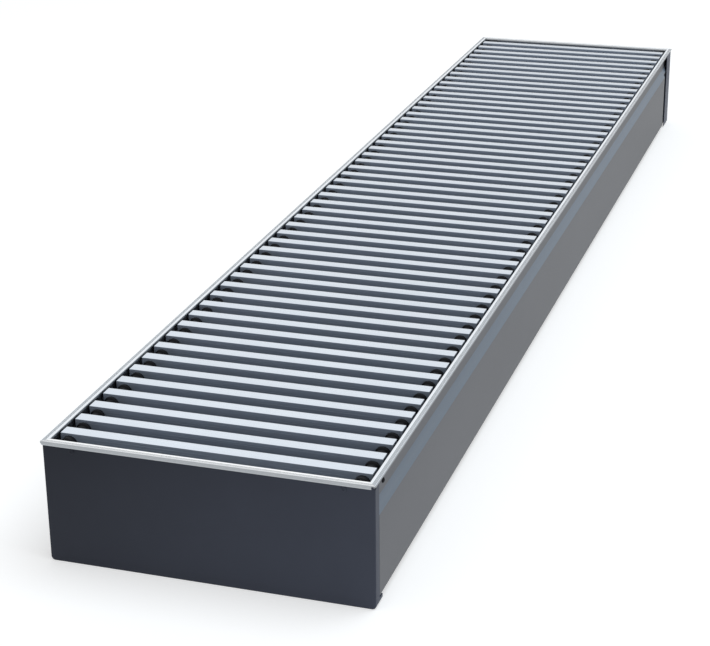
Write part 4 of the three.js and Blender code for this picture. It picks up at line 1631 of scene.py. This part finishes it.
@dataclass
class AirPath:
    """The sheets that guide the air and the braces across the tray."""

    shop: Workshop
    sheet: float = 0.8 * MM
    bend: float = 1.5 * MM
    brace_wall: float = 1.0 * MM

    def guide(self, side: Side) -> Piece:
        """An upright guide with its foot on the tray floor."""
        node = f"air_guide_{side.label}"
        room = Room.of(node)
        toe, wall = (room.low.y, room.high.y) if side is Side.RIGHT else (room.high.y, room.low.y)
        path = [Corner(toe, room.low.z), Corner(wall, room.low.z, self.bend), Corner(wall, room.high.z)]
        outline = folded(path, -side.value * self.sheet)
        guide = draw_out(f"guide_sheet_{side.label}", outline, Axis.X, room.low.x, room.high.x)
        soften(guide, 0.1 * MM, segments=1)
        return self.shop.seat(guide, Look.TRAY_PAINT, node)

    def brace(self, end: End) -> Piece:
        """A channel across the tray."""
        node = f"cross_brace_{end.label}"
        room = Room.of(node)
        low, high = room.low, room.high
        wall, bend = self.brace_wall, self.bend
        corners = [
            Corner(low.x, low.z), Corner(low.x + wall, low.z),
            Corner(low.x + wall, high.z - wall, bend - wall),
            Corner(high.x - wall, high.z - wall, bend - wall),
            Corner(high.x - wall, low.z), Corner(high.x, low.z),
            Corner(high.x, high.z, bend), Corner(low.x, high.z, bend),
        ]
        brace = draw_out(f"brace_{end.label}", rounded(corners), Axis.Y, low.y, high.y)
        return self.shop.seat(brace, Look.ZINC, node)

    def build(self) -> list[Piece]:
        """Makes the guides and braces."""
        return [*(self.guide(side) for side in Side), *(self.brace(end) for end in End)]


# ---------------------------------------------------------------- valves


class Line(Named):
    """The supply and return line, with their sign along Y."""

    SUPPLY = -1
    RETURN = 1


@dataclass
class Valves:
    """Union nuts, valve bodies, their caps and the bleed screw."""

    shop: Workshop
    spacing: float = 50.0 * MM
    body_radius: float = 11.5 * MM
    waist_radius: float = 10.2 * MM
    port_radius: float = 8.0 * MM
    port_depth: float = 14.0 * MM
    neck_radius: float = 9.0 * MM
    nut_flats: float = 24.0 * MM
    bleed_boss_radius: float = 4.5 * MM
    slot_width: float = 1.2 * MM

    def axis_point(self, line: Line) -> Vector:
        """A point on a valve's axis, at x = 0."""
        height = Room.of("exchanger_tube").centre.z
        return Vector((0.0, line.value * self.spacing / 2, height))

    def nut(self, line: Line) -> Piece:
        """A union nut with chamfered corners and a collar towards the tube."""
        node = f"union_nut_{line.label}"
        room = Room.of(node)
        centre = self.axis_point(line)
        low, high = room.low.x, room.high.x
        circle = self.nut_flats / 2 / math.cos(math.pi / 6)
        outline = []
        for step in range(6):
            angle = math.pi * step / 3
            outline.append((centre.y + circle * math.sin(angle), centre.z + circle * math.cos(angle)))
        shoulder = low + 3.0 * MM
        nut = draw_out(f"nut_{line.label}", outline, Axis.X, shoulder, high)
        chamfer, over = 1.4 * MM, 0.1 * MM
        profile = [(0.0, low), (circle - chamfer, shoulder), (circle, shoulder + chamfer),
                   (circle, high - chamfer), (circle - chamfer, high + over), (0.0, high + over)]
        round_off = turned("nut_chamfer", profile, Axis.X, centre, segments=48)
        combine(nut, [round_off], "INTERSECT")
        lip, neck = self.nut_flats * 0.38, self.nut_flats * 0.42
        profile = [(0.0, low), (lip, low), (neck, low + 0.6 * MM), (neck, shoulder + MM),
                   (0.0, shoulder + MM)]
        ring = turned("nut_collar", profile, Axis.X, centre, segments=36)
        whole = gather(f"hex_nut_{line.label}", [nut, ring])
        return self.shop.seat(whole, Look.NICKEL, node)

    def barrel_profile(self, start: float, end: float) -> list[Point]:
        """Profile of a valve's barrel: a collar, a plain stretch and a threaded port with its bore."""
        outer, waist = self.body_radius, self.waist_radius
        plain_end, thread_start, thread_end = start + 27 * MM, start + 31 * MM, end - 0.6 * MM
        points = [(0.0, start), (waist - MM, start), (waist - MM, start + 1.5 * MM),
                  (waist, start + 2 * MM), (outer, start + 3 * MM), (outer, plain_end),
                  (waist, plain_end + 2 * MM), (waist - MM, thread_start - MM)]
        turns = 8
        for step in range(turns):
            along = thread_start + (thread_end - thread_start) * step / turns
            points += [(outer - 0.2 * MM, along + 0.4 * MM), (outer - 1.0 * MM, along + 1.2 * MM)]
        points += [(outer - 0.9 * MM, end), (self.port_radius, end),
                   (self.port_radius, end - self.port_depth), (0.0, end - self.port_depth)]
        return points

    def body(self, line: Line) -> Piece:
        """A straight valve body with its neck and, on the return line, the bleed boss."""
        node = f"{line.label}_valve_body"
        room = Room.of(node)
        centre = self.axis_point(line)
        barrel = turned("barrel", self.barrel_profile(room.low.x, room.high.x), Axis.X, centre, segments=40)
        neck_x = Room.of(f"{line.label}_valve_cap").centre.x
        top = room.high.z if line is Line.SUPPLY else Room.of("return_valve_cap").low.z - 0.3 * MM
        radius = self.neck_radius
        neck = turned(
            "neck",
            [(0.0, centre.z), (radius, centre.z), (radius, top - 4 * MM), (radius - 0.8 * MM, top - 3.4 * MM),
             (radius - 0.8 * MM, top - 2.2 * MM), (radius, top - 1.8 * MM), (radius, top - 0.4 * MM),
             (radius - 0.4 * MM, top), (0.0, top)],
            Axis.Z, Vector((neck_x, centre.y, 0.0)), segments=40,
        )
        parts = [barrel, neck]
        if line is Line.RETURN:
            screw = Room.of("bleed_screw")
            boss, seat = self.bleed_boss_radius, room.high.z
            profile = [(0.0, centre.z), (boss, centre.z), (boss, seat - 0.5 * MM), (boss - 0.5 * MM, seat),
                       (0.0, seat)]
            parts.append(turned("bleed_boss", profile, Axis.Z,
                                Vector((screw.centre.x, centre.y, 0.0)), segments=28))
        valve = gather(f"valve_{line.label}", parts)
        return self.shop.seat(valve, Look.NICKEL, node)

    def cap(self, line: Line) -> Piece:
        """A ribbed cap with a dished top."""
        node = f"{line.label}_valve_cap"
        room = Room.of(node)
        centre = room.centre
        radius = room.size.x / 2
        ribs = 24 if line is Line.SUPPLY else 18
        depth = 0.7 * MM
        outline = []
        for step in range(4 * ribs):
            angle = math.pi * step / (2 * ribs)
            reach = radius - depth * (0.5 - 0.5 * math.cos(ribs * angle)) ** 0.7
            outline.append((centre.x + reach * math.cos(angle), centre.y + reach * math.sin(angle)))
        cap = draw_out(f"cap_{line.label}", outline, Axis.Z, room.low.z, room.high.z)
        top, dish = room.high.z, radius - 2.6 * MM
        dome = turned(
            "cap_dome",
            [(0.0, room.low.z), (radius - depth, room.low.z), (radius, room.low.z + depth),
             (radius, top - 2.4 * MM), (radius - 0.7 * MM, top - MM), (radius - 1.8 * MM, top),
             (dish, top), (dish - 0.5 * MM, top - 0.8 * MM), (0.0, top - 0.8 * MM)],
            Axis.Z, Vector((centre.x, centre.y, 0.0)), segments=96,
        )
        combine(cap, [dome], "INTERSECT")
        look = Look.WHITE_PLASTIC if line is Line.SUPPLY else Look.BLACK_PLASTIC
        return self.shop.seat(cap, look, node, body=f"{line.label}_cap")

    def bleed_screw(self) -> Piece:
        """The slotted bleed screw."""
        room = Room.of("bleed_screw")
        centre = Vector((room.centre.x, room.centre.y, 0.0))
        radius, head, shank = room.size.x / 2, 4.0 * MM, 2.6 * MM
        seat, top = room.high.z - head, room.high.z
        screw = turned(
            "bleeder",
            [(0.0, room.low.z), (shank, room.low.z), (shank, seat), (radius - 0.4 * MM, seat),
             (radius, seat + 0.4 * MM), (radius, top - 0.9 * MM), (radius - 0.8 * MM, top), (0.0, top)],
            Axis.Z, centre, segments=32,
        )
        cut_slot(screw, Vector((centre.x, centre.y, top)), radius, self.slot_width)
        return self.shop.seat(screw, Look.NICKEL, "bleed_screw", body="bleed")

    def build(self) -> list[Piece]:
        """Makes both valves."""
        pieces = [self.bleed_screw()]
        for line in Line:
            pieces += [self.nut(line), self.body(line), self.cap(line)]
        return pieces


# ---------------------------------------------------------------- levelling


@dataclass
class Levelling:
    """The slotted, threaded levelling screws."""

    shop: Workshop
    core_radius: float = 3.45 * MM
    ridge_radius: float = 0.55 * MM
    thread_pitch: float = 1.25 * MM
    slot_width: float = 1.2 * MM
    point: float = 1.5 * MM

    def screw(self, end: End, side: Side) -> Piece:
        """One levelling screw on its own body."""
        tag = f"{end.label}_{side.label}"
        room = Room.of(f"level_screw_{tag}")
        centre = Vector((room.centre.x, room.centre.y, 0.0))
        core, top, tip = self.core_radius, room.high.z, room.low.z
        rod = turned(
            f"levelling_screw_{tag}",
            [(0.0, tip), (core - 0.8 * MM, tip), (core, tip + self.point), (core, top - 0.5 * MM),
             (core - 0.5 * MM, top), (0.0, top)],
            Axis.Z, centre, segments=24,
        )
        cut_slot(rod, Vector((centre.x, centre.y, top)), 2 * core, self.slot_width)
        length = top - tip - self.point - 3 * self.slot_width
        self.shop.run(
            self.shop.recipes.thread,
            rod,
            Look.ZINC,
            Turns=length / self.thread_pitch,
            Coil_radius=core,
            Wire_radius=self.ridge_radius,
            Length=length,
            Place=(centre.x, centre.y, tip + self.point),
        )
        return self.shop.seat(rod, Look.ZINC, f"level_screw_{tag}", body=f"level_{tag}")

    def build(self) -> list[Piece]:
        """Makes the four levelling screws."""
        return [self.screw(end, side) for end in End for side in Side]


# ---------------------------------------------------------------- studio


@dataclass(frozen=True)
class Lamp:
    """A soft square lamp that faces the heater."""

    name: str
    place: tuple[float, float, float]
    size: float
    power: float
    colour: tuple[float, float, float]

    def build(self) -> None:
        """Hangs the lamp."""
        light = bpy.data.lights.new(self.name, "AREA")
        light.shape = "SQUARE"
        light.size = self.size
        light.energy = self.power
        light.color = self.colour
        thing = link(self.name, light)
        thing.location = self.place
        thing.rotation_euler = (-Vector(self.place)).to_track_quat("-Z", "Y").to_euler()


@dataclass
class Studio:
    """The pale floor, the soft light and the camera at the photograph's view."""

    lens: float = 93.89                     # mm, on a sensor 36 mm wide
    sensor: float = 36.0
    camera_place: tuple[float, float, float] = (-1.5875, -0.4244, 0.6168)
    heading: float = 17.99                 # degrees from +X towards +Y
    dip: float = 21.934                     # degrees below the horizon
    roll: float = -0.617
    floor_size: float = 60.0
    floor_white: float = 0.72
    floor_glow: float = 0.45
    sky_light: float = 0.55
    lamps: tuple[Lamp, ...] = (
        Lamp("overhead_lamp", (0.0, -0.9, 2.9), 2.2, 42.0, (0.86, 0.94, 1.0)),
        Lamp("right_lamp", (2.8, -2.2, 0.9), 1.2, 8.0, (0.70, 0.84, 1.0)),
    )

    def camera(self) -> None:
        """Puts the camera at the photograph's view."""
        camera = bpy.data.cameras.new("camera")
        camera.sensor_fit = "HORIZONTAL"
        camera.sensor_width = self.sensor
        camera.lens = self.lens
        camera.clip_start = 0.01
        camera.clip_end = 2 * self.floor_size
        heading, dip, roll = (math.radians(angle) for angle in (self.heading, self.dip, self.roll))
        forward = Vector((math.cos(dip) * math.cos(heading), math.cos(dip) * math.sin(heading),
                          -math.sin(dip)))
        level = Vector((math.sin(heading), -math.cos(heading), 0.0))
        upright = level.cross(forward)
        right = level * math.cos(roll) + upright * math.sin(roll)
        up = right.cross(forward)
        turn = Matrix((right, up, -forward)).transposed()
        thing = link("camera", camera)
        thing.matrix_world = Matrix.Translation(self.camera_place) @ turn.to_4x4()
        bpy.context.scene.camera = thing

    @staticmethod
    def seen_directly(graph: Graph) -> bpy.types.NodeSocket:
        """1 for rays from the camera, from a mirror or through glass, and 0 for others."""
        rays = graph.node("ShaderNodeLightPath").outputs
        seen = rays["Is Camera Ray"]
        for name in ("Is Glossy Ray", "Is Transmission Ray"):
            seen = graph.reckon("MAXIMUM", seen, rays[name]).outputs[0]
        return seen

    def world(self) -> None:
        """A white surrounding that gives a plain, soft light."""
        world = bpy.data.worlds.new("studio")
        world.use_nodes = True
        graph = Graph(world.node_tree)
        strength = graph.node(
            "ShaderNodeMapRange", Value=self.seen_directly(graph), To_Min=self.sky_light, To_Max=1.0
        )
        background = graph.tree.nodes["Background"]
        graph.feed(background, Color=(1.0, 1.0, 1.0, 1.0), Strength=strength.outputs[0])
        bpy.context.scene.world = world

    def floor(self) -> None:
        """A pale floor that keeps the heater's soft shadow."""
        half = self.floor_size / 2
        corners = [Vector((x * half, y * half, 0.0)) for x, y in ((-1, -1), (1, -1), (1, 1), (-1, 1))]
        floor = make_object("floor", corners, [[0, 1, 2, 3]])
        shader = Shader("pale_floor")
        shader.feed(
            shader.surface,
            Base_Color=(self.floor_white, self.floor_white, self.floor_white, 1.0),
            Roughness=0.9,
            Specular_IOR_Level=0.0,
            Emission_Color=(1.0, 1.0, 1.0, 1.0),
            Emission_Strength=shader.reckon(
                "MULTIPLY", self.seen_directly(shader), self.floor_glow
            ).outputs[0],
        )
        floor.data.materials.append(shader.material)

    def build(self) -> None:
        """Sets the stage."""
        bpy.context.scene.view_settings.view_transform = "Standard"
        self.camera()
        self.world()
        self.floor()
        for lamp in self.lamps:
            lamp.build()


def main() -> None:
    logging.basicConfig(level=logging.INFO, format="%(message)s")
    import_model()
    shop = Workshop()
    for assembly in (EdgeFrame(shop), Casing(shop), Grille(shop), Exchanger(shop), AirPath(shop),
                     Valves(shop), Levelling(shop)):
        for piece in assembly.build():
            piece.report()
    Studio().build()


if __name__ == "__main__":
    main()
